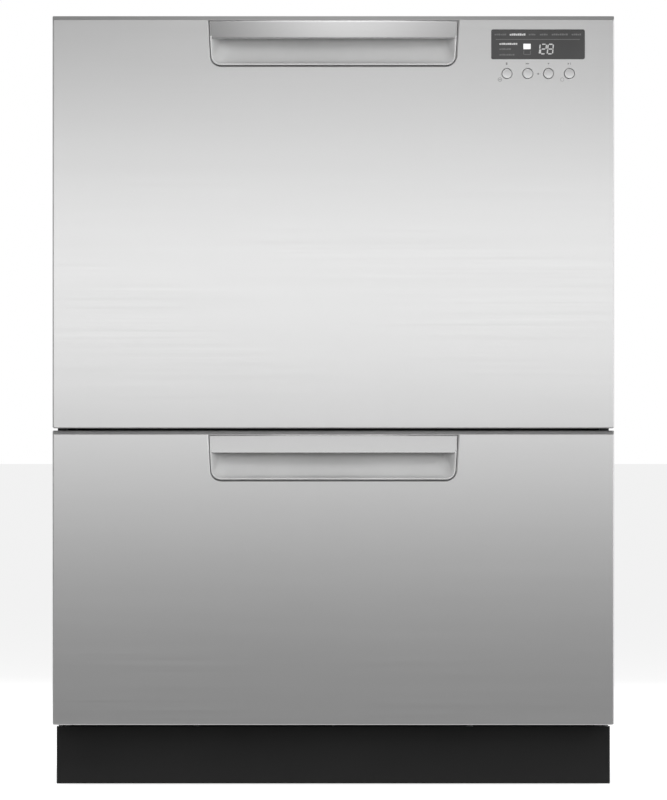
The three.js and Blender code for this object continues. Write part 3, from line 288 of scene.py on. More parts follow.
def noise(tree, place, scale, detail, roughness=0.5):
    """Cloudy noise from 0 to 1, finer with a higher scale."""
    return add(tree, "TexNoise", Vector=place, Scale=scale, Detail=detail, Roughness=roughness)["Fac"]


def effect(build, **inputs):
    """A node group with named number inputs, and an output for each socket that build gives back."""
    group = bpy.data.node_groups.new(build.__name__, "ShaderNodeTree")
    for label, value in inputs.items():
        socket = group.interface.new_socket(label.replace("_", " "), in_out="INPUT", socket_type="NodeSocketFloat")
        socket.default_value = value
    made = build(group, add(group, "TexCoord")["Object"], group.nodes.new("NodeGroupInput").outputs)
    for label in made:
        group.interface.new_socket(label, in_out="OUTPUT", socket_type="NodeSocketFloat")
    outward = group.nodes.new("NodeGroupOutput")
    for label, source in made.items():
        group.links.new(source, outward.inputs[label])
    return group


def brushed_lines(tree, place, given):
    """Lines: noise drawn out along x. Cloud: slow patches, for uneven brushing and finger marks."""
    stretch = add(tree, "CombineXYZ", given["Length"], given["Fineness"], given["Fineness"])[0]
    drawn = add(tree, "VectorMath", place, stretch, operation="MULTIPLY")[0]
    return {"Lines": noise(tree, drawn, 1.0, 4.0, 0.65), "Cloud": noise(tree, place, given["Patches"], 3.0)}


def moulded_texture(tree, place, given):
    """Grain: fine rounded bumps of a spark-eroded mould. Mottle: slow uneven tone."""
    grain = add(tree, "TexVoronoi", feature="SMOOTH_F1", Vector=place, Scale=given["Grain Size"])
    return {"Grain": grain["Distance"], "Mottle": noise(tree, place, given["Mottle Size"], 4.0, 0.6)}


def rubbed_edges(tree, place, given):
    """Wear: high where the surface is convex, broken up by noise."""
    band = add(tree, "MapRange", Value=add(tree, "NewGeometry")["Pointiness"], From_Min=given["Start"],
               From_Max=given["End"])["Result"]
    return {"Wear": maths(tree, "MULTIPLY", band, noise(tree, place, given["Break Up"], 3.0))}


def settled_dust(tree, place, given):
    """Dust: noise kept to the faces that look upwards."""
    way = add(tree, "SeparateXYZ", add(tree, "NewGeometry")["Normal"])
    upward = add(tree, "MapRange", Value=way["Z"], From_Min=0.6)["Result"]
    patches = maths(tree, "MULTIPLY", upward, noise(tree, place, given["Patch Size"], 6.0, 0.7))
    return {"Dust": maths(tree, "MULTIPLY", patches, given["Amount"])}


LINES = effect(brushed_lines, Length=3.0, Fineness=1400.0, Patches=4.0)
TEXTURE = effect(moulded_texture, Grain_Size=900.0, Mottle_Size=14.0)
WEAR = effect(rubbed_edges, Start=0.53, End=0.62, Break_Up=120.0)
DUST = effect(settled_dust, Amount=0.5, Patch_Size=30.0)
DUST_COLOUR = (0.5, 0.48, 0.45, 1.0)


def shade(colour, factor):
    """A colour, or a grey of one number, made lighter or darker."""
    return [min(1.0, c * factor) for c in np.broadcast_to(colour, 3)] + [1.0]


def between(tree, source, low, high):
    """The middle of a noise, from 0.3 to 0.7, spread between two numbers."""
    return add(tree, "MapRange", Value=source, From_Min=0.3, From_Max=0.7, To_Min=low, To_Max=high)["Result"]


def mixed(tree, factor, first, second):
    """Two colours mixed by a mask; either may be a socket."""
    node = tree.nodes.new("ShaderNodeMix")
    node.data_type = "RGBA"
    for i, source in ((0, factor), (6, first), (7, second)):  # its other sockets are for other kinds of value
        feed(tree, node.inputs[i], source)
    return node.outputs[2]


def started(name, **values):
    """A new material, its tree, and the sockets of its principled shader with some of their values."""
    material = bpy.data.materials.new(name)
    material.use_nodes = True
    shader = material.node_tree.nodes["Principled BSDF"].inputs
    for key, value in values.items():
        shader[key.replace("_", " ")].default_value = value
    return material, material.node_tree, shader


def dressed(tree, shader, colour, roughness, relief, height, strength):
    """Feeds a shader its colour, its roughness and a bump of the given height in millimetres."""
    bump = add(tree, "Bump", Height=relief, Strength=strength, Distance=height * MM)
    for label, source in (("Base Color", colour), ("Roughness", roughness), ("Normal", bump["Normal"])):
        feed(tree, shader[label], source)


def brushed(name, colour, roughness, spread=0.06, tone=0.05, length=3.0, fineness=1400.0, height=0.02):
    """Brushed metal: lines along x change its tone, roughness and relief, and slow patches its gloss."""
    material, tree, shader = started(name, Roughness=roughness, Metallic=1.0)
    lines = add(tree, "Group", node_tree=LINES, Length=length, Fineness=fineness)
    streak = mixed(tree, lines["Lines"], shade(colour, 1 - tone), shade(colour, 1 + tone))
    tinted = mixed(tree, between(tree, lines["Cloud"], 0.0, 1.0), streak, shade(colour, 1 + tone * 0.3))
    gloss = between(tree, lines["Lines"], roughness - spread, roughness + spread)
    dressed(tree, shader, tinted, gloss, lines["Lines"], height, 0.35)
    return material


def moulded(name, colour, roughness, grain=900.0, height=0.04, mottle=0.05, rub=1.5, dust=0.0, **values):
    """Moulded plastic or paint: eroded grain, uneven tone, edges rubbed to another tone, dust on top."""
    material, tree, shader = started(name, Roughness=roughness, **values)
    texture = add(tree, "Group", node_tree=TEXTURE, Grain_Size=grain)
    tone = mixed(tree, between(tree, texture["Mottle"], 0.0, 1.0), shade(colour, 1 - mottle), shade(colour, 1 + mottle))
    tone = mixed(tree, add(tree, "Group", node_tree=WEAR)["Wear"], tone, shade(colour, rub))
    if dust:
        tone = mixed(tree, add(tree, "Group", node_tree=DUST, Amount=dust)["Dust"], tone, DUST_COLOUR)
    gloss = between(tree, texture["Mottle"], roughness - 0.05, roughness + 0.07)
    dressed(tree, shader, tone, gloss, texture["Grain"], height, 0.5)
    return material


def galvanised_sheet(name, colour, roughness):
    """Zinc-coated steel: crystals of 8 to 20 mm that each have their own tone and gloss, under dust."""
    material, tree, shader = started(name, Roughness=roughness, Metallic=1.0)
    crystals = add(tree, "TexVoronoi", Vector=add(tree, "TexCoord")["Object"], Scale=75.0, Randomness=1.0,
                   distance="CHEBYCHEV")
    split = add(tree, "SeparateColor", crystals["Color"])
    tone = mixed(tree, split[0], shade(colour, 0.9), shade(colour, 1.1))
    tone = mixed(tree, add(tree, "Group", node_tree=DUST, Amount=0.35)["Dust"], tone, DUST_COLOUR)
    gloss = add(tree, "MapRange", Value=split[1], To_Min=roughness - 0.08, To_Max=roughness + 0.12)["Result"]
    mottle = add(tree, "Group", node_tree=TEXTURE, Grain_Size=500.0)["Mottle"]
    dressed(tree, shader, tone, gloss, mottle, 0.05, 0.3)
    return material


def glowing(name, colour, strength):
    """Lit segments: a pale face that gives off its own light, a little uneven from edge to edge."""
    material, tree, shader = started(name, Emission_Strength=strength)
    mottle = add(tree, "Group", node_tree=TEXTURE, Mottle_Size=220.0)["Mottle"]
    tone = mixed(tree, mottle, shade(colour, 0.92), shade(colour, 1.06))
    for label in ("Base Color", "Emission Color"):
        tree.links.new(tone, shader[label])
    return material


FINISHES = {  # by slot
    "stainless": brushed("brushed_stainless", 0.60, 0.34, spread=0.04, tone=0.035),
    "satin_bar": brushed("satin_bar", 0.385, 0.25, spread=0.02, tone=0.03, fineness=2400.0, height=0.003),
    "silver_plastic": moulded("silver_paint", 0.385, 0.45, grain=2600.0, height=0.01, rub=1.15, Metallic=0.2),
    "button_metal": brushed("satin_button", 0.62, 0.32, spread=0.02, tone=0.02, length=400.0, fineness=400.0,
                            height=0.002),
    "lens": moulded("smoked_lens", 0.033, 0.16, grain=3000.0, height=0.002, rub=1.2, mottle=0.03),
    "kick_black": moulded("satin_black_paint", 0.0062, 0.42, grain=1500.0, height=0.02, rub=2.2, dust=0.04,
                          Specular_IOR_Level=0.19),
    "black_plastic": moulded("black_plastic", (0.022, 0.022, 0.023), 0.5, dust=0.15),
    "galvanised": galvanised_sheet("galvanised_sheet", (0.49, 0.50, 0.51), 0.36),
    "runner_steel": brushed("plated_runner", (0.58, 0.59, 0.60), 0.30, length=900.0, fineness=900.0),
    "panel_plastic": moulded("grey_panel_plastic", (0.42, 0.43, 0.44), 0.48, rub=1.15),
    "tub_plastic": moulded("tub_plastic", (0.52, 0.54, 0.56), 0.42, grain=1200.0, height=0.03, rub=1.15),
    "rack_plastic": moulded("coated_rack", (0.27, 0.29, 0.31), 0.40, grain=1500.0, height=0.02, rub=1.4),
    "clear_plastic": moulded("frosted_plastic", (0.50, 0.55, 0.58), 0.28, grain=1500.0, height=0.02, rub=1.2),
    "arm_plastic": moulded("arm_plastic", (0.46, 0.47, 0.49), 0.42, rub=1.2),
    "motor_plastic": moulded("motor_housing", (0.075, 0.076, 0.082), 0.5, grain=700.0, rub=1.8, dust=0.3),
}
RUBBER = moulded("seal_rubber", (0.035, 0.035, 0.036), 0.72, grain=700.0, height=0.05, rub=1.6)
LIT, TAB = glowing("lit_segments", 0.36, 0.15), glowing("lit_tab", 0.62, 0.2)
DIM = glowing("dim_segments", 0.075, 0.0)
PRINT = moulded("printed_marks", 0.12, 0.55, grain=2600.0, height=0.005, mottle=0.15)


# ---- Fronts ----

HANDLE_HALF_TOP, HANDLE_HALF_FOOT, HANDLE_HEIGHT = 132.8, 130.5, 47.6
HANDLE_DROP = 4.8  # top of the handle below the top of its front
HANDLE_CORNER, HANDLE_RIM, HANDLE_GAP = 11.0, 2.4, 0.6
NOTCH = (15.0, 16.2)  # below the tray's top: its lip steps back behind the bar between these
SCOOP_RISE, SCOOP_STOP = 31.0, 7.0  # up the scoop, and how far it ends before the tray's back
SCOOP_DRAW, SCOOP_CORNER, SCOOP_WIDEN = 11.0, 8.0, 9.0  # its sides draw in and its corners widen
LIFT_FROM, LIFT_OVER = 17.0, 19.0  # below the tray's top: its foot is lifted from here on, fully after a way
LIP_ROUND, SCOOP_ROUND = 0.7, 0.9  # outer and inner edge of the tray's lip
BAR_HALF, BAR_BOW, BAR_LEAN, BAR_EDGE = 131.7, 3.1, 2.6, 0.7
BAR_DROP, BAR_LOW = 4.4, 0.6  # the bar's top below the front's, and its foot below the CAD bar's
TOP_BEVEL, EDGE_ROUND, SHEET, FRONT_RETURN = 4.3, 2.0, 1.0, 25.5
FOOT_SHARE = 0.5  # the fold at the foot is this much tighter than the ones at the sides
HANDLE_BEVEL, HANDLE_SLOPE, HOLE_ROUND = 1.4, 0.58, 0.6  # edges of the holes in the skin; 0.58 is 30 degrees
SKIN_DEPTHS, INNER_DEPTHS = (3.0, 4.0, 4.6, 5.0), (5.2, 3.0)  # loops between the fold and the return
WINDOW_X, WINDOW_DROP, WINDOW_W, WINDOW_H, WINDOW_GAP = 218.2, 30.2, 99.0, 31.0, 0.25
BUTTON_X, BUTTON_DROP, BUTTON_R, BUTTON_GAP = (185.2, 207.4, 229.5, 251.7), 61.3, 5.2, 0.35
NUMBER_DROP = 25.6  # foot of the number below the window's top
SIGN_DROP = 50.8  # signs above the buttons, below the top of the front


def front_top(name):
    """Height of the top of a front."""
    return limits(f"{name}_front_skin")[2][1]


def handle_loop(z, margin, top, corner):
    """U-shaped loop of the handle: a straight top, then on each side two points on its lean and an arc.

    It is drawn in from the handle's outline by margin, and its top is raised above z by top.
    """
    half_top, half_foot = HANDLE_HALF_TOP - margin, HANDLE_HALF_FOOT - margin
    foot = z - HANDLE_HEIGHT + margin
    a = np.linspace(pi, 1.5 * pi, 11)
    left = np.stack([-half_foot + corner + corner * np.cos(a), foot + corner + corner * np.sin(a)], -1)
    lean = (half_top - half_foot) / (HANDLE_HEIGHT - margin - corner + top)
    left = np.concatenate([[(lean * (drop + top) - half_top, z - drop) for drop in NOTCH], left])
    return np.concatenate([[[half_top, z + top], [-half_top, z + top]], left, left[::-1] * [-1, 1]])


def front_skin(name):
    """Folded sheet: face, rounded sides and foot, 45 degree band at the top, returns, and its holes.

    At depth y the loop is drawn in by r - √(r² - (r - y)²) at the sides, by a share of that at the foot
    and by band - y at the top. The handle's hole has a flat edge of 30 degrees that steepens to 45 at
    its foot; the other holes have a small quarter round.
    """
    (x0, x1), (y0, _), (z0, z1) = limits(f"{name}_front_skin")

    def outer(depth, inset=0.0):
        round_in = EDGE_ROUND - sqrt(max(EDGE_ROUND**2 - max(EDGE_ROUND - depth, 0) ** 2, 0))
        side, foot = max(round_in, inset), max(round_in * FOOT_SHARE, inset)
        top = max(TOP_BEVEL - depth, 0) if not inset else max(TOP_BEVEL + 0.6 - depth, inset)
        return rounded((x0 + side, x1 - side), (z0 + foot, z1 - top), [1.0, 1.0, 1.6, 1.6], 4)

    openings = [(lambda g: handle_loop(z1 - HANDLE_DROP, -HANDLE_GAP - g, 0.2, HANDLE_CORNER + HANDLE_GAP + g),
                 HANDLE_BEVEL)]
    if name == "upper":
        u, v, middle = WINDOW_W / 2 + WINDOW_GAP, WINDOW_H / 2 + WINDOW_GAP, z1 - WINDOW_DROP
        openings.append((lambda g: rounded(about(WINDOW_X, u + g), about(middle, v + g), 1.7 + g, 5), HOLE_ROUND))
        openings += [(lambda g, x=x: circle(x, z1 - BUTTON_DROP, BUTTON_R + BUTTON_GAP + g), HOLE_ROUND)
                     for x in BUTTON_X]
    depths = np.concatenate([EDGE_ROUND * (1 - np.cos(QUARTER)), SKIN_DEPTHS, [FRONT_RETURN]])
    inner = (FRONT_RETURN, *INNER_DEPTHS, SHEET + HANDLE_BEVEL)
    back = y0 + inner[-1]
    parts = [skin([facing(outer(d), y0 + d) for d in depths] + [facing(outer(d, SHEET), y0 + d) for d in inner],
                  around=True),
             pierced(outer(0.0), [hole(edge) for hole, edge in openings], y0),
             pierced(outer(inner[-1], SHEET), [hole(0.0) for hole, _ in openings], back)]
    for hole, edge in openings:
        steps = [(sin(a), 1 - cos(a)) for a in QUARTER]
        if edge == HANDLE_BEVEL:
            steep = np.clip((z1 - HANDLE_DROP - hole(0.0)[:, 1]) / (HANDLE_HEIGHT + HANDLE_GAP), 0, 1) ** 8
            steps = [(0, 0), (1, HANDLE_SLOPE + (1 - HANDLE_SLOPE) * steep)]
        rings = [facing(hole(edge * (1 - u)), y0 + edge * v) for u, v in steps]
        parts.append(skin([*rings, facing(hole(0.0), back)], around=True))
    make(f"{name}_front", parts, f"{name}_drawer", "stainless", f"{name}_front_skin", crease=26)


def handle_tray(name):
    """Lip round the recess, then a scoop: at t up its foot it is 0.14 + 0.86·t^0.8 of the way in, and
    its sides draw in as it goes. Beside the bar every ring stays behind the bar."""
    _, (face, back), _ = limits(f"{name}_handle_cup")
    top, corner = front_top(name) - HANDLE_DROP, HANDLE_CORNER - HANDLE_RIM
    rings = [facing(handle_loop(top, 0.0, 0.0, HANDLE_CORNER), y) for y in (back, face + LIP_ROUND)]
    rings += [facing(handle_loop(top, LIP_ROUND * draw, 0.0, HANDLE_CORNER - LIP_ROUND), face + LIP_ROUND * rest)
              for draw, rest in ROUND[1:]]
    rings += [facing(handle_loop(top, HANDLE_RIM - SCOOP_ROUND * (1 - draw), -0.1, corner), face + SCOOP_ROUND * draw)
              for draw, _ in ROUND[::2]]
    up = np.linspace(0.02, 1, 16)
    for depth, lift in zip(0.14 + 0.86 * up**0.8, SCOOP_RISE * up):
        draw = SCOOP_DRAW * depth
        loop = handle_loop(top, HANDLE_RIM + draw, -2.0 - 2.5 * depth, SCOOP_CORNER + SCOOP_WIDEN * depth)
        loop[2:, 1] += (lift - draw) * np.clip((top - LIFT_FROM - loop[2:, 1]) / LIFT_OVER, 0, 1)
        rings.append(facing(loop, face + depth * (back - SCOOP_STOP - face)))
    rings = np.stack(rings)
    beside = rings[..., 2] > top - NOTCH[0] - 0.1
    behind = np.maximum(rings[..., 1], limits(f"{name}_handle_bar")[1][1] + 0.2)
    rings[..., 1] = np.where(beside, behind, rings[..., 1])
    make(f"{name}_handle_recess", [loft(rings)], f"{name}_drawer", "silver_plastic", f"{name}_handle_cup")


def handle_bar(name):
    """Leaning bar: at u along it and v up it the front is BAR_BOW·u² + BAR_LEAN·(1 + v) / 2 behind its
    foremost line, and more near its rolled edges by BAR_EDGE·(1 - √(1 - |v|³⁰))."""
    _, (y0, y1), (z0, _) = limits(f"{name}_handle_bar")
    z0, z1 = z0 - BAR_LOW, front_top(name) - BAR_DROP
    u = np.linspace(-1, 1, 61)[:, None]
    v = np.sin(np.linspace(-1, 1, 25) * pi / 2)[None]
    edge = BAR_EDGE * (1 - np.sqrt(np.clip(1 - np.abs(v) ** 30, 0, 1)))
    front = y0 + BAR_BOW * u**2 + BAR_LEAN * (1 + v) / 2
    back = front + (y1 - y0 - BAR_BOW - BAR_LEAN) - edge * 0.6
    loop_y = np.concatenate([front + edge, back[:, ::-1]], 1)
    loop_z = (z0 + z1) / 2 + np.concatenate([v, v[:, ::-1]], 1) * (z1 - z0) / 2
    grid = np.stack(np.broadcast_arrays(BAR_HALF * u, loop_y, loop_z), -1)
    make(f"{name}_handle_grip", [loft(grid)], f"{name}_drawer", "satin_bar", f"{name}_handle_bar")


def display():
    """Smoked lens in its window, with bars, a tab and a plain number of seven slanted segments."""
    x, (y0, y1), z = limits("display_lens")
    lens = plate(rounded(x, z, 1.5, 6, 0.1), y0, y1, 0.3)
    make("display_window", [lens], "upper_drawer", "lens", "display_lens")
    left, top = WINDOW_X - WINDOW_W / 2, front_top("upper") - WINDOW_DROP + WINDOW_H / 2

    def mark(loop):
        return plate(loop, y0 - 0.04, y0 + 0.1)

    def strip(x, drop, w, h, r=0.3):
        x, z, r = left + x, top - drop, min(r, w / 2.01, h / 2.01)
        return mark(rounded((x, x + w), (z, z + h), r, 3))

    def word(x, drop, w, h):
        """A row of small blocks, each a little wider or narrower than the last."""
        step = np.arange(max(3, round(w / 2.1)) + 1)
        edges = x + w * (step + 0.12 * np.sin(2.4 * step)) / step[-1]
        return [strip(a, drop, b - a - 0.42, h * (1 if k % 3 else 0.8), 0.25)
                for k, (a, b) in enumerate(zip(edges, edges[1:]))]

    words = ((3.2, 5.9, 12.6, 1.9), (39.6, 5.9, 7.6, 1.9), (51.6, 5.9, 8.6, 1.9), (64.2, 5.9, 17.4, 1.9),
             (85.4, 5.9, 10.6, 1.9), (8.4, 21.4, 12.4, 1.7), (8.4, 27.4, 16.4, 1.7))
    dim = [part for place in words for part in word(*place)]
    dim += [strip(x, drop, w, h, 0.2) for x, drop, w, h in
            ((4.6, 10.6, 89.6, 0.7), (34.0, 26.6, 0.7, 4.2), (34.0, 26.6, 7.8, 0.7), (41.1, 26.6, 0.7, 4.2))]
    lit = word(19.4, 6.1, 17.0, 2.2) + word(8.4, 15.9, 19.4, 1.9)
    wide, tall, thick, slant, foot = 5.6, 10.2, 1.2, 0.1, top - NUMBER_DROP
    bars = {"a": (0.5, 1, 1), "b": (1, 0.75, 0), "c": (1, 0.25, 0), "d": (0.5, 0, 1), "e": (0, 0.25, 0),
            "f": (0, 0.75, 0), "g": (0.5, 0.5, 1)}  # middle across and up a digit, and whether it lies flat
    for x, segments in ((45.3, "bc"), (52.0, "abged"), (59.4, "abcdefg")):
        for u, v, flat in (bars[key] for key in segments):
            w, h = (wide - thick * 1.6, thick) if flat else (thick, tall / 2 - thick * 0.7)
            loop = rounded(about(0, w / 2), about(0, h / 2), thick * 0.3, 3) + [left + x + u * wide, foot + v * tall]
            loop[:, 0] += (loop[:, 1] - foot) * slant
            lit.append(mark(loop))
    tab = [strip(34.0, 20.6, 7.8, 5.8, 0.4)]
    for name, parts, finish in (("dim_marks", dim, DIM), ("lit_marks", lit, LIT), ("tab", tab, TAB)):
        make(f"display_{name}", parts, "upper_drawer", finish=finish)


def buttons():
    """Turned caps: a low dome, a rounded rim and a stem."""
    for i, x in enumerate(BUTTON_X, 1):
        _, (y0, y1), (z0, z1) = limits(f"button_{i}")
        r, dip, edge = BUTTON_R, 0.12, 0.5
        dome = [(k, y0 + dip * (k / (r - edge)) ** 2) for k in np.linspace(0, r - edge - 0.1, 6)]
        rim = [(r - edge + edge * sin(a), y0 + dip + edge * (1 - cos(a))) for a in QUARTER]
        part = turned([*dome, *rim, (r, y1), (0, y1)], (x, 0, (z0 + z1) / 2), 48, 1)
        make(f"button_cap_{i}", [part], f"button_{i}", "button_metal", f"button_{i}")


def printed_marks():
    """Small plain signs printed round the buttons: a tab, arrows, a dot, a ring and two rings below."""
    face, top, x = limits("upper_front_skin")[1][0], front_top("upper"), BUTTON_X
    row, high = top - BUTTON_DROP, top - SIGN_DROP
    low, middle = row - 6.4, (x[1] + x[2]) / 2
    near, deep = face - 0.02, face + 0.05

    def ring(dx, dz, r, w):
        return skin([facing(circle(dx, dz, k, 24), y) for k, y in ((r, deep), (r, near), (r - w, near), (r - w, deep))],
                    around=True, along=True)

    def dash(half, tall, radius):
        return rounded(about(0, half), about(0, tall), radius, 2)

    arrow, down = [(-1.1, -1.1), (0.9, 0), (-1.1, 1.1)], [(-1.1, 0.8), (0, -1.0), (1.1, 0.8)]
    signs = [(dash(0.9, 1.3, 0.3), x[0] - 0.4, high), (arrow, x[1] - 1.1, high), (arrow, x[1] + 0.7, high),
             (down, x[2], high), (arrow, x[3] - 0.7, high), (dash(0.25, 1.2, 0.2), x[3] + 1.3, high),
             (dash(1.2, 0.3, 0.2), x[0] - 7.6, low), (circle(0, 0, 1.0, 20), middle, row - 0.3)]
    signs += [(dash(0.5, 0.12, 0.1), middle + s * 2.2, row - 0.3) for s in (-1, 1)]
    marks = [plate(np.array(loop, float) + [dx, dz], near, deep) for loop, dx, dz in signs]
    marks += [ring(x[0] - 7.6, low, 2.2, 0.5), ring(x[3] - 7.6, low, 2.0, 0.3)]
    make("button_signs", marks, "upper_drawer", "stainless", finish=PRINT)


for drawer in DRAWERS:
    front_skin(drawer)
    handle_tray(drawer)
    handle_bar(drawer)
display()
buttons()
printed_marks()


# ---- Inside of the drawers ----

TUB_HALF = (264.2, 242.2)  # half of the tub's plan at the top of its wall
TUB_WALL, TUB_DRAFT, TUB_FOOT, TUB_CORNER = 3.0, 7.0, 14.0, 30.0
RIM_FLANGE, RIM_THICK, RIM_STEP, SHOULDER_DROP = 8.0, 5.0, 1.2, 34
SUMP_R, SUMP_DEPTH, OUTLET_R = 118.0, 12.0, 18.0
LEDGE_Y, BOSS_Y, POST_Y = 150, 170, 175  # ledges, runner bosses and cup posts from the tub's middle
BOSS_X = 280.2  # faces of the runner bosses
HINGE_DROP = 110.0  # cup shelf's hinge below the rim
RACK_WIRE, RACK_WALL, THIN_WIRE = 5.0, 60.0, 1.7
LID_HALF, LID_SEAL, GROOVE_X = 271.2, 6.0, 162.7  # the seal hangs that far below the lid's own foot
MIDDLE_Y = sum(limits("lower_tub")[1]) / 2
UP, ALONG_X, ALONG_Y = (0, 0, 1), (1, 0, 0), (0, 1, 0)


def rim_of(name):
    """Height of a tub's rim."""
    return limits(f"{name}_tub")[2][1]


def tub_plan(inset):
    """The tub's plan drawn in from the top of its wall, as a loop with soft corners."""
    return rounded(about(0, TUB_HALF[0]), about(MIDDLE_Y, TUB_HALF[1]), max(TUB_CORNER - inset / 2, 4), 10, inset)


def basin(floor, rim, wall, step):
    """Loops of one side of the tub, from the outlet up to just under the rim.

    Between the sump and the edge of the floor a point is (1 - t)·circle + t·plan. The foot is drawn
    in by TUB_FOOT·(1 - sin a) at TUB_FOOT·(1 - cos a) up, and the wall leans by TUB_DRAFT.
    """
    middle, ground = np.array([0.0, MIDDLE_Y]), floor + wall
    edge = tub_plan(TUB_DRAFT + TUB_FOOT + wall) - middle
    way = edge / np.linalg.norm(edge, axis=1, keepdims=True)
    sump, low = SUMP_R + TUB_WALL - wall, ground - SUMP_DEPTH
    rings = [level(middle + way * r, z) for r, z in
             ((OUTLET_R, low), (sump - 7, low), (sump - 4, low + 1.2), (sump - 0.5, ground - 1.2), (sump + 1, ground))]
    rings += [level(middle + (1 - t) * way * (sump + 1) + t * edge, ground) for t in (0.35, 0.7, 1.0)]
    rings += [level(tub_plan(TUB_DRAFT + wall + TUB_FOOT * rest), ground + TUB_FOOT * draw) for draw, rest in ROUND[1:]]
    foot, shoulder = ground + TUB_FOOT, rim - SHOULDER_DROP
    for z in (foot + t * (shoulder - foot) for t in (0.25, 0.5, 0.75, 1.0)):
        rings.append(level(tub_plan(wall + TUB_DRAFT * (rim - z) / (rim - foot)), z))
    lean = TUB_DRAFT * SHOULDER_DROP / (rim - foot)
    return rings + [level(tub_plan(wall + lean - step * k), shoulder + up)
                    for k, up in ((0.35, 0.6), (0.8, 1.6), (1.0, 2.6))]


def tub(name):
    """Moulded shell: one skin up the outside, out over the rim and down the inside to the outlet."""
    lowest, rim = limits(f"{name}_tub")[2]
    floor, under, roll = lowest + SUMP_DEPTH, rim - RIM_THICK, 1.8
    lip = [level(tub_plan(0.0), under - 1.5), level(tub_plan(-1.5), under)]
    lip += [level(tub_plan(-RIM_FLANGE + 1.6 * (1 - sin(a))), (under + rim) / 2 - RIM_THICK / 2 * cos(a))
            for a in np.linspace(0, pi, 9)]
    lip += [level(tub_plan(TUB_WALL - RIM_STEP - roll * rest), rim - roll * draw) for draw, rest in ROUND]
    inside = basin(floor, rim, TUB_WALL, RIM_STEP)
    parts = [skin([*basin(floor, rim, 0.0, 0.0), *lip, *inside[::-1]], around=True, along=True)]
    low, foot_x = limits(f"{name}_base_rack")[2][0], TUB_HALF[0] - TUB_DRAFT
    for s in (-1, 1):
        for y in about(MIDDLE_Y, LEDGE_Y):
            parts.append(block((s * (foot_x - 1), s * (foot_x - 27)), about(y, 15), (low - 9.3, low - 0.3), 3, 2, 1.2))
            parts += [block((s * (foot_x - 1), s * (foot_x - 18)), about(rib, 1.2), (low - 26, low - 6), 1, 2, 0.6)
                      for rib in about(y, 9)]
        parts += [block((s * foot_x, s * BOSS_X), about(y, 12), about(rim - 140, 10), 2.5, 0, 1.0)
                  for y in (MIDDLE_Y, *about(MIDDLE_Y, BOSS_Y))]
    make(f"{name}_wash_tub", parts, f"{name}_drawer", "tub_plastic", f"{name}_tub")


def dispenser(name):
    """Housing with a sunk detergent cup and ears for its door, and a ribbed rinse aid cap.

    Outer loops are drawn in by a quarter round at the face, the cup's go back in by another, and the
    face between them is one pierced sheet. The cap's radius is 14.2 + 0.7·√|sin 18a|, signed.
    """
    span, (back, _), (z0, z1) = limits(f"{name}_dispenser_housing")
    (dx0, dx1), (front, _), _ = limits(f"{name}_dispenser_door")
    face, foot, centre = front - 0.3, z0 + 16, (dx0 + dx1) / 2
    inner_top, inner_foot = 1.2, TUB_DRAFT * 130 / (rim_of(name) - limits(f"{name}_tub")[2][0] - 29)

    def outline(draw):
        return rounded(span, (z0, z1), 12 - draw * 0.75, 6, draw)

    def cup(grow):
        return rounded(about(centre, 32), (foot + 5, foot + 58), 6 + grow, 6, -grow)

    rear = facing(outline(0), back)
    rear[:, 1] += (z1 - rear[:, 2]) / (z1 - z0) * (inner_foot - inner_top)
    outer = [rear, *(facing(outline(4 * draw), face - 4 * rest) for draw, rest in ROUND)]
    inner = [facing(cup(rest), face - draw) for draw, rest in ROUND]
    inner += [facing(cup(-5 * draw), face - 13.8 + 5 * rest) for draw, rest in ROUND]
    ears = [block(about(x, 2), (face - 1, face + 5.5), about(foot, 3.5), 2.6, 0, 0.5) for x in about(centre, 37.5)]
    parts = [skin(outer, around=True), cap(rear), pierced(outer[-1][:, [0, 2]], [cup(1.0)], face),
             skin(inner, around=True), cap(inner[-1]), *ears]
    make(f"{name}_detergent_housing", parts, f"{name}_drawer", "panel_plastic", f"{name}_dispenser_housing")

    a = np.arange(144) * 2 * pi / 144
    wave = np.sin(18 * a)
    ribbed = 14.2 + 0.7 * np.sign(wave) * np.sqrt(np.abs(wave))
    x, z = 45, (z0 + z1) / 2
    rings = [np.stack([x + r * np.cos(a), np.full(len(a), face + up), z + r * np.sin(a)], -1)
             for r, up in ((ribbed, -0.5), (ribbed, 2.4), (ribbed - 0.6, 3.0), (13.0, 3.4), (11.8, 3.5))]
    grip = block(about(x, 10.5), (face + 3.2, face + 6.4), about(z, 1.8), 1.2, 1, 0.7)
    make(f"{name}_rinse_aid_cap", [loft(rings), grip], f"{name}_drawer", "tub_plastic")


def detergent_door(name):
    """Plate with rounded edges and a shallow panel, a thumb pull at its top and a hinge pin."""
    (x0, x1), (front, _), (low, _) = limits(f"{name}_dispenser_door")
    x0, x1, foot, edge, thick = x0 + 4, x1 - 4, low + 2, 1.2, 2.5

    def outline(draw):
        return rounded((x0, x1), (foot, foot + 60), max(4.5 - draw / 3, 2), 6, draw)

    rings = [facing(outline(0), front)]
    rings += [facing(outline(edge * draw), front + thick - edge * rest) for draw, rest in ROUND]
    rings += [facing(outline(6), front + thick), facing(outline(6.8), front + thick - 0.7)]
    pull = block((x0 + 21, x1 - 21), (front + 1, front + 5.8), (foot + 54, foot + 58.5), 1.6, 0, 0.8)
    pin = wire([(x0 - 2, front + 2.2, foot), (x1 + 2, front + 2.2, foot)], 1.9, UP, 12)
    body = f"{name}_dispenser_door"
    make(f"{name}_detergent_door", [loft(rings), pull, pin], body, "panel_plastic", body)


def tine(tall):
    """Prong turned about its own line, with a flared foot and a domed tip."""
    return turned([(0, -1.5), (3.0, -1.5), (2.6, 0.6), (2.1, 3.0), (1.6, tall * 0.55), (1.15, tall - 2.2),
                   (1.0, tall - 1.0), (0.6, tall - 0.3), (0, tall)], (0, 0, 0), 9)


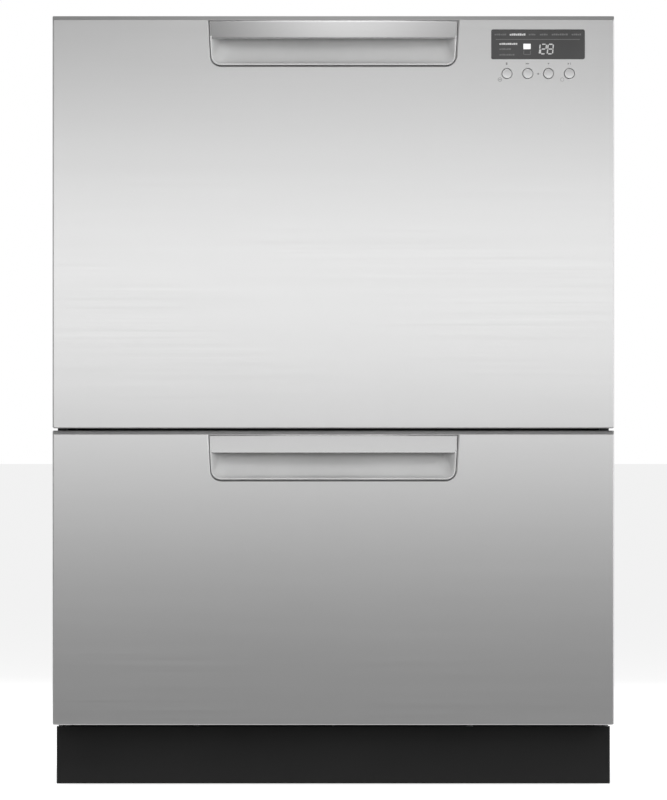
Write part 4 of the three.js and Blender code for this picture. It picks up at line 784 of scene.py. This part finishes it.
def rack_plan(name):
    """Limits of the base rack, and the x and y places of its tines."""
    (x0, x1), (y0, y1), (low, _) = limits(f"{name}_base_rack")
    rows = np.linspace(y0 + RACK_WIRE / 2, y1 - RACK_WIRE / 2, 6)
    return (x0, x1), (y0, y1), low, np.linspace(x0 + 28, x1 - 100, 8), rows


def inner_steps(low, high, count, axis):
    """Offsets along an axis that split a length evenly, without its two ends."""
    return [np.roll((place, 0, 0), axis) for place in np.linspace(low, high, count)[1:-1]]


def base_rack(name):
    """Bent wires up the walls and across the floor, rails round them, fixed tines and cup posts."""
    (x0, x1), (y0, y1), low, tines, rows = rack_plan(name)
    r = RACK_WIRE / 2
    floor, rail = low + r, low + RACK_WIRE + RACK_WALL - r
    a, b, c, d = x0 + r, x1 - r, y0 + r, y1 - r
    parts = [wire(level(rounded((a, b), (c, d), 16), z), size, UP, 10, closed=True)
             for z, size in ((floor, r), ((floor + rail) / 2, THIN_WIRE), (rail, r))]
    across = bent([(a, 0, rail), (a, 0, floor + 0.2), (b, 0, floor + 0.2), (b, 0, rail)], 12)
    along = bent([(0, c, rail), (0, c, floor - 0.2), (0, d, floor - 0.2), (0, d, rail)], 12)
    parts += [repeated(wire(across, THIN_WIRE, ALONG_Y), inner_steps(c, d, 11, 1)),
              repeated(wire(along, THIN_WIRE, ALONG_X), inner_steps(a, b, 13, 0))]
    top = low + RACK_WIRE - 1
    fixed = rows[[1, 3, 4]]
    parts.append(repeated(tine(rim_of(name) - HINGE_DROP - 12 - top), [(x, y, top) for y in fixed for x in tines]))
    parts += [wire([(tines[0] - 10, y, top), (tines[-1] + 10, y, top)], 2.0, UP) for y in fixed]
    for y in about(MIDDLE_Y, POST_Y):
        parts += [block((x0, x0 + 9), about(y, 2), (low + 2, rim_of(name) - HINGE_DROP + 4.5), 2, 1, 0.6),
                  block((x0 + 1, x0 + 20), about(y, 1.4), (low + 1, low + 22), 6, 1, 0.5)]
    parts += [block(about(x, 1), about(rows[2], 4), (low + 1, low + RACK_WIRE + 7), 0.8, 1, 0.4)
              for x in (tines[0] - 12, tines[-1] + 12)]
    make(f"{name}_dish_rack", parts, f"{name}_drawer", "rack_plastic", f"{name}_base_rack")


def tine_row(name):
    """Folding tines on a rod, each on a collar."""
    _, _, low, tines, rows = rack_plan(name)
    z, y = low + RACK_WIRE + 3.5, rows[2]
    places = [(x, y, z) for x in (tines[:-1] + tines[1:]) / 2]
    parts = [wire([(tines[0] - 11, y, z), (tines[-1] + 11, y, z)], 2.0, UP, 12),
             repeated(tine(rim_of(name) - HINGE_DROP - 12.3 - z), places),
             repeated(wire([(-2.5, 0, 0), (2.5, 0, 0)], 2.9, UP, 12), places)]
    make(f"{name}_folding_tines", parts, f"{name}_tine_row", "rack_plastic", f"{name}_tine_row")


def cup_rack(name):
    """Hinged shelf: a frame of bent wire, thin wires across it, a raised outer lip and hinge pins."""
    (x0, x1), (y0, y1), (_, z1) = limits(f"{name}_cup_rack")
    z, r, thin = rim_of(name) - HINGE_DROP, 2.3, 1.5
    hinge, outer, a, b = x0 + 2.5, x1 - 7.5, y0 + 7, y1 - 7
    lip_x, lip_z = x1 - r, z1 - r
    rise = wire([(outer, 0, z), (lip_x, 0, lip_z)], thin, ALONG_Y)
    parts = [wire(level(rounded((hinge, outer), (a, b), 8, 5), z), r, UP, 10, closed=True),
             wire([(lip_x, a + 2, lip_z), (lip_x, b - 2, lip_z)], r, UP, 10),
             wire([(x0 + 2.2, y0 + 2, z), (x0 + 2.2, y1 - 2, z)], 2.1, UP, 12),
             repeated(wire([(hinge, 0, z), (outer, 0, z)], thin, UP), inner_steps(a, b, 15, 1)),
             repeated(rise, [(0, y, 0) for y in np.linspace(a + 5, b - 5, 9)])]
    parts += [wire([(x, a, z - 1), (x, b, z - 1)], thin, UP) for x in np.linspace(hinge, outer, 4)[1:-1]]
    make(f"{name}_cup_shelf", parts, f"{name}_cup_rack", "clear_plastic", f"{name}_cup_rack")


def spray_arm(name):
    """Two curved blades, a ring hub and raised nozzles.

    At u along a blade its half width is 22·(1 - 0.42·|u|), its middle swings by 16·sin(πu) and its
    section is a low arch; the root narrows so that it ends inside the hub.
    """
    (x0, x1), _, (z0, _) = limits(f"{name}_spray_arm")
    reach, swing, start = (x1 - x0) / 2 - 0.5, 16.0, 17.0
    a = np.linspace(0, 2 * pi, 24, endpoint=False)[None]
    across = np.sign(np.cos(a)) * np.abs(np.cos(a)) ** 0.7
    up = np.where(np.sin(a) > 0, 5.2, 3.8) * np.sign(np.sin(a)) * np.abs(np.sin(a)) ** 0.8
    parts = []
    for s in (-1, 1):
        u = s * np.linspace(start / reach, 1, 33)[:, None]
        end = np.sqrt(np.clip(1 - np.abs(u) ** 18, 0.003, 1))
        root = np.clip((np.abs(u) * reach - start) / 22, 0, 1)
        half = 22 * (1 - 0.42 * np.abs(u)) * end * (0.66 + 0.34 * root**2 * (3 - 2 * root))
        y = MIDDLE_Y + swing * np.sin(pi * u) + half * across
        parts.append(loft(np.stack(np.broadcast_arrays(u * reach, y, z0 + 10.8 + up * end), -1)))
    hub = [(11.8, 0), (22, 0), (24, 2), (24, 14), (22.8, 16.4), (20, 17.6), (15, 18), (12.6, 17.6), (11.8, 16.8),
           (11.8, 0)]
    parts.append(turned([(r, z0 + h) for r, h in hub], (0, MIDDLE_Y, 0), 48))
    nozzle = turned([(0, -2), (4.6, -2), (4.4, 1.2), (3.4, 2.4), (2.2, 2.5), (1.8, 1.2), (0, 1.0)], (0, 0, 0), 16)
    parts.append(repeated(nozzle, [(k * reach, MIDDLE_Y + swing * sin(pi * k), z0 + 15.4)
                                   for k in (-0.84, -0.58, -0.34, 0.34, 0.58, 0.84)]))
    make(f"{name}_wash_arm", parts, f"{name}_spray_arm", "arm_plastic", f"{name}_spray_arm")


def filter_plate(name):
    """Disc with two circles of radial slots in pierced sheets, and the drain filter's cup in it."""
    (x0, x1), _, (z0, _) = limits(f"{name}_filter_plate")
    radius, sheet, side, cup = (x1 - x0) / 2, 2.5, -88.0, 26
    holes = [circle(0, MIDDLE_Y, 17.5), circle(side, MIDDLE_Y, 24, 40)]
    for ring, (r0, r1, count) in enumerate(((46, 72, 22), (80, 112, 40))):
        for angle in (np.arange(count) + ring / 2) * 2 * pi / count:
            way = np.array([cos(angle), sin(angle)])
            middle = way * (r0 + r1) / 2
            if np.linalg.norm(middle - [side, 0]) > cup + (r1 - r0) / 2 + 2:
                turn = np.array([way, [-way[1], way[0]]])
                slot = rounded(about(0, (r1 - r0) / 2), about(0, 1.6), 1.5, 3)
                holes.append(slot @ turn + middle + [0, MIDDLE_Y])
    rim = [level(circle(0, MIDDLE_Y, radius - draw, 96), z0 + up) for draw, up in
           ((0.8, 0), (0, 0.8), (0, sheet - 0.8), (0.8, sheet))]
    parts = [pierced(rim[0][:, :2], holes, z, level) for z in (z0, z0 + sheet)] + [skin(rim, around=True)]
    parts += [skin([level(hole, z0), level(hole, z0 + sheet)], around=True) for hole in holes]
    collar = [(cup, 0.2), (cup, 6.2), (25.2, 7), (22.8, 7), (22, 6.2), (22, -9), (0, -9), (0, -10), (23.4, -10),
              (23.4, 0.2), (cup, 0.2)]
    parts += [turned([(r, z0 + h) for r, h in collar], (side, MIDDLE_Y, 0), 48),
              block(about(side, 24), about(MIDDLE_Y, 2), (z0 + 3.2, z0 + 11), 2.5, 1, 0.8)]
    make(f"{name}_sump_filter", parts, f"{name}_drawer", "panel_plastic", f"{name}_filter_plate")


def cutlery_basket():
    """Two bays of upright slats between a foot band and a rim band, over a slatted floor, with a
    handle that rises from the middle wall."""
    (x0, x1), (y0, y1), (z0, z1) = limits("upper_cutlery_basket")
    wall, top, centre, middle = 2.5, z1 - 12, (x0 + x1) / 2, (y0 + y1) / 2

    def band(low, high):
        return skin([level(rounded((x0, x1), (y0, y1), 9 - draw / 2, 6, draw), z) for draw, z in
                     ((0.5, low), (0, low + 0.5), (0, high - 0.8), (0.8, high), (wall - 0.8, high),
                      (wall, high - 0.8), (wall, low + 0.5), (wall - 0.5, low))], around=True, along=True)

    slats = [(x, y, 0) for x in (x0 + wall / 2, x1 - wall / 2) for y in np.linspace(y0 + 12, y1 - 12, 22)]
    ends = [(x, y, 0) for y in (y0 + wall / 2, y1 - wall / 2) for x in np.linspace(x0 + 13, x1 - 13, 5)]
    upright = (z0 + 8, top - 14), 0.8, 2, 0.3
    across = block((x0 + 1, x1 - 1), about(0, 1.5), (z0 + 0.3, z0 + 2.8), 0.9, 0, 0.3)
    parts = [band(z0, z0 + 12), band(top - 18, top), band(*about((z0 + top) / 2, 4)),
             repeated(block(about(0, 1.1), about(0, 2.6), *upright), slats),
             repeated(block(about(0, 2.6), about(0, 1.1), *upright), ends),
             repeated(across, [(0, y, 0) for y in np.linspace(y0 + 8, y1 - 8, 26)]),
             block((x0 + 1, x1 - 1), about(middle, 1.25), (z0 + 0.5, top - 2), 3, 1, 0.5),
             block(about(centre, 1.6), (y0 + 1, y1 - 1), (z0 + 0.4, z0 + 2.6), 0.9, 1, 0.3)]
    hoop = bent([(centre - 24, middle, top - 8), (centre - 24, middle, z1 - 2.8), (centre + 24, middle, z1 - 2.8),
                 (centre + 24, middle, top - 8)], 7, 6)
    parts.append(wire(hoop, 2.7, ALONG_Y, 12))
    make("upper_cutlery_holder", parts, "upper_drawer", "rack_plastic", "upper_cutlery_basket")


def lid(name):
    """Flanged lid: rounded edge, raised deck with three pressed grooves, lugs and a lipped seal below.

    A groove's loops go down by 2.5·(1 - cos a) / 2 over a few millimetres of run.
    """
    _, (y0, y1), (z0, z1) = limits(f"{name}_lid")
    middle, foot = (y0 + y1) / 2, z0 + LID_SEAL

    def ring(draw, z):
        return level(rounded(about(0, LID_HALF), (y0, y1), 30 - draw, 8, draw), z)

    edge = [(20, foot), (1, foot), (0, foot + 1), (0, foot + 3.6), (0.4, foot + 4.6), (1.4, foot + 5), (3.6, foot + 5),
            (4.6, foot + 5.4), (5, foot + 6.4), (5, z1 - 3.4), (5.7, z1 - 1.6), (7.2, z1 - 0.4), (9, z1)]
    rings = [ring(draw, z) for draw, z in edge]
    grooves = [lambda g, x=x: rounded(about(x, 20), about(middle, 195), 18 + g, 8, -g)
               for x in (-GROOVE_X, 0.0, GROOVE_X)]
    parts = [skin(rings, around=True), cap(rings[0]), pierced(rings[-1][:, :2], [g(1.2) for g in grooves], z1, level)]
    for groove in grooves:
        steps = [level(groove(1.2 - 2.4 * t), z1 - 1.25 * (1 - cos(pi * t))) for t in np.linspace(0, 1, 7)]
        parts += [skin(steps, around=True), cap(steps[-1])]
    lug = ((0, -1), (4, -1), (4, 15), (3.4, 15.8), (0, 15.8))
    parts += [turned([(r, s * h) for r, h in lug], (s * (LID_HALF - 4), y, foot + 8), 20, 0)
              for y in about(middle - 1.6, 110) for s in (-1, 1)]
    make(f"{name}_tub_lid", parts, f"{name}_lid", "tub_plastic", f"{name}_lid")
    lip = ((0.5, 0.3), (0.5, -2.5), (1.6, -5.0), (2.7, -5.9), (3.6, -5.6), (3.4, -4.2), (4.6, -2.8), (6.4, -2.2),
           (6.5, 0.3))
    make(f"{name}_rim_seal", [skin([ring(draw, foot + h) for draw, h in lip], around=True, along=True)],
         f"{name}_lid", "tub_plastic", finish=RUBBER, crease=50)


for drawer in DRAWERS:
    for piece_of in (tub, dispenser, detergent_door, base_rack, tine_row, cup_rack, spray_arm, filter_plate, lid):
        piece_of(drawer)
cutlery_basket()


# ---- Foot of the machine and the gap between its fronts ----

KICK_WIDER = 1.8  # at each end than the CAD strip
KICK_SHEET, KICK_BEND = 1.6, 2.4
STRIP_THICK, STRIP_FOOT = 1.4, 70.0
RUNNER_NOTCH = 5.0  # from a runner to the end of a black strip above or below it


def kickstrip():
    """Folded strip: a closed plan loop with bent corners, stood up from foot to top with eased edges."""
    (x0, x1), (y0, y1), (_, z1) = limits("kickstrip")
    x0, x1, z0 = x0 - KICK_WIDER, x1 + KICK_WIDER, 0.0
    a = np.linspace(0, pi / 2, 6)

    def bend(x, y, r):
        left = [(x + r * (1 - cos(k)), y + r * (1 - sin(k))) for k in a]
        return [*left, *((x0 + x1 - x, y) for x, y in left[::-1])]

    def plan(ease):
        outer, inner = ease, KICK_SHEET - ease
        out = bend(x0 + outer, y0 + outer, KICK_BEND - ease)
        back = bend(x0 + inner, y0 + inner, max(KICK_BEND - KICK_SHEET + ease, 0.3))[::-1]
        y = y1 - ease
        return np.array([(x0 + outer, y), *out, (x1 - outer, y), (x1 - inner, y), *back, (x0 + inner, y)])

    rows = [(0.4, z0), (0.12, z0 + 0.15), (0, z0 + 0.5), (0, (z0 + z1) / 2), (0, z1 - 0.5), (0.12, z1 - 0.15),
            (0.4, z1)]
    make("toe_kick", [loft([level(plan(ease), z) for ease, z in rows])], "chassis", "kick_black", "kickstrip")


def edge_gasket(side):
    """Thin black strips with rounded edges down the front flange of a side panel, above, between and
    below the notches that the runners pass through."""
    (x0, x1), (y0, _), (_, z1) = limits(f"side_panel_{side}")
    stops = [STRIP_FOOT]
    for drawer in DRAWERS:
        low, high = limits(f"{drawer}_runner_outer_{side}")[2]
        stops += [low - RUNNER_NOTCH, high + RUNNER_NOTCH]
    strips = [block((x0 + 0.2, x1 - 0.2), (y0 - STRIP_THICK, y0), span, 0.5, edge=0.5)
              for span in zip(stops[::2], [*stops[1::2], z1 - 1.0])]
    make(f"edge_gasket_{side}", strips, "chassis", "kick_black", finish=RUBBER)


def foot(name):
    """Levelling foot: a turned pad with a domed top, a nut and a stem with rounded threads."""
    (x0, x1), (y0, y1), (z0, z1) = limits(name)
    pad = [(0, 0), (15.5, 0), (17, 1), (17, 4.6), (16.2, 6.2), (12, 8), (9, 8.6), (9, 15.6), (8.2, 16.4), (5, 16.4)]
    height = np.arange(17.0, z1 - z0 - 1.5, 0.75)
    thread = [(4.72 + 0.28 * cos(pi * k), h) for k, h in enumerate(height)]
    profile = [*pad, *thread, (4.0, z1 - z0), (0, z1 - z0)]
    make(f"{name}_leveller", [turned(profile, ((x0 + x1) / 2, (y0 + y1) / 2, z0), 28)], name, "black_plastic", name)


kickstrip()
for side in SIDES:
    edge_gasket(side)
for end in ("front", "rear"):
    for side in SIDES:
        foot(f"foot_{end}_{side}")


# ---- CAD nodes that keep their shape ----

for part in frame["record"]["subparts"]:
    mesh = frame["nodes"][part["node"]].data
    mesh.materials.clear()
    mesh.materials.append(FINISHES[part["material_slot"]])


# ---- Studio, in metres ----

FLOOR_Z, FLOOR_HALF = -0.0004, 60  # just under the feet
BOARD_Y, BOARD_LEFT, BOARD_RIGHT, BOARD_TOP = -1.25, -1.15, 1.6, 2.0


def seen_white(tree):
    """1 for rays from the camera, a gloss or through glass, which all see the white background."""
    path = add(tree, "LightPath")
    seen = path["Is Camera Ray"]
    for label in ("Is Glossy Ray", "Is Transmission Ray"):
        seen = maths(tree, "MAXIMUM", seen, path[label])
    return seen


def room():
    """The world: plain grey light, seen as white."""
    world = bpy.data.worlds.new("room")
    bpy.context.scene.world = world
    world.use_nodes = True
    tree = world.node_tree
    grey, white = tree.nodes["Background"], add(tree, "Background", Color=(1, 1, 1, 1))[0]
    grey.inputs["Color"].default_value = (0.5, 0.5, 0.5, 1)
    choice = add(tree, "MixShader", seen_white(tree), grey.outputs[0], white)[0]
    tree.links.new(choice, tree.nodes["World Output"].inputs["Surface"])


def staged(name, corners, material):
    """A flat studio piece, which isn't part of the object."""
    mesh = bpy.data.meshes.new(name)
    mesh.from_pydata(corners, [], [(0, 1, 2, 3)])
    mesh.materials.append(material)
    piece = bpy.data.objects.new(name, mesh)
    bpy.context.scene.collection.objects.link(piece)
    return piece


def floor():
    """A wide pale floor whose lit parts show white and whose shadows stay."""
    grey, white = (0.45, 0.45, 0.45, 1), (1, 1, 1, 1)
    material, tree, shader = started("pale_floor", Roughness=0.9, Specular_IOR_Level=0.0, Base_Color=grey,
                                     Emission_Color=white)
    tree.links.new(maths(tree, "MULTIPLY", seen_white(tree), 0.66), shader["Emission Strength"])
    staged("floor", [(x * FLOOR_HALF, y * FLOOR_HALF, FLOOR_Z) for x, y in ((-1, -1), (1, -1), (1, 1), (-1, 1))],
           material)


def board(name, corners, base, *bells):
    """A board that only shows in metal: it glows by base + the sum of high·e^-((place - middle) / spread)²
    along an axis, and is kept out of every ray but the glossy ones.

    A bell is (axis, middle, spread, high), or has (start, end) too: then it fades in with height.
    """
    material = bpy.data.materials.new(name)
    material.use_nodes = True
    tree = material.node_tree
    tree.nodes.remove(tree.nodes["Principled BSDF"])
    place = add(tree, "SeparateXYZ", add(tree, "TexCoord")["Object"])
    total = maths(tree, "ADD", base)
    for axis, middle, spread, high, *fade in bells:
        off = maths(tree, "DIVIDE", maths(tree, "SUBTRACT", place[axis], middle), spread)
        curve = maths(tree, "EXPONENT", maths(tree, "MULTIPLY", maths(tree, "MULTIPLY", off, off), -1.0))
        value = maths(tree, "MULTIPLY", curve, high)
        if fade:
            ramp = add(tree, "MapRange", interpolation_type="SMOOTHSTEP", Value=place["Z"], From_Min=fade[0],
                       From_Max=fade[1])
            value = maths(tree, "MULTIPLY", value, ramp["Result"])
        total = maths(tree, "ADD", total, value)
    glow = add(tree, "Emission", Strength=total)[0]
    tree.links.new(glow, tree.nodes["Material Output"].inputs["Surface"])
    piece = staged(name, corners, material)
    piece.visible_camera = piece.visible_diffuse = piece.visible_shadow = False
    piece.visible_transmission = piece.visible_volume_scatter = False


def boards():
    """Grey studio boards in front of the machine, beside it, under its front edge and above it."""
    y, left, right, top = BOARD_Y, BOARD_LEFT, BOARD_RIGHT, BOARD_TOP
    board("front_board", [(left, y, 0), (right, y, 0), (right, y, top), (left, y, top)], 0.21,
          ("Z", 0.545, 0.205, 1.85), ("X", 0.03, 0.2, 3.7, 1.03, 1.16), ("X", 0.34, 0.08, 0.8, 1.03, 1.16))
    for name, x, glow in (("left_board", left, 0.35), ("right_board", right, 1.5)):
        board(name, [(x, y, 0), (x, -0.1, 0), (x, -0.1, top), (x, y, top)], glow)
    for name, back, z, glow, bell in (("low_board", -0.32, 0.003, 0.28, ("Y", -0.3, 0.16, 0.35)),
                                      ("high_board", 1.0, top, 0.3, ("X", 0.02, 0.2, 0.36))):
        board(name, [(-right, y, z), (right, y, z), (right, back, z), (-right, back, z)], glow, bell)


def lamp(name, place, aim, size, power):
    """A soft square lamp that points at a spot on the machine's middle line, at the height aim."""
    light = bpy.data.lights.new(name, "AREA")
    light.shape, light.size, light.energy = "SQUARE", size, power
    lamp_object = bpy.data.objects.new(name, light)
    bpy.context.scene.collection.objects.link(lamp_object)
    lamp_object.location = place
    lamp_object.rotation_euler = (Vector((0, 0, aim)) - Vector(place)).to_track_quat("-Z", "Y").to_euler()
    lamp_object.visible_camera = lamp_object.visible_glossy = False


room()
floor()
boards()
lamp("soft_front_left", (-2.2, -2.6, 2.0), 0.4, 2.0, 30)
lamp("soft_front_right", (2.4, -2.2, 1.8), 0.4, 2.0, 40)
lamp("soft_front_low", (0.2, -3.2, 0.5), 0.4, 1.6, 60)
lamp("soft_top", (0, 0.2, 3.2), 0.4, 2.4, 80)
lamp("soft_back", (0.6, 3.0, 2.2), 0.5, 2.0, 45)
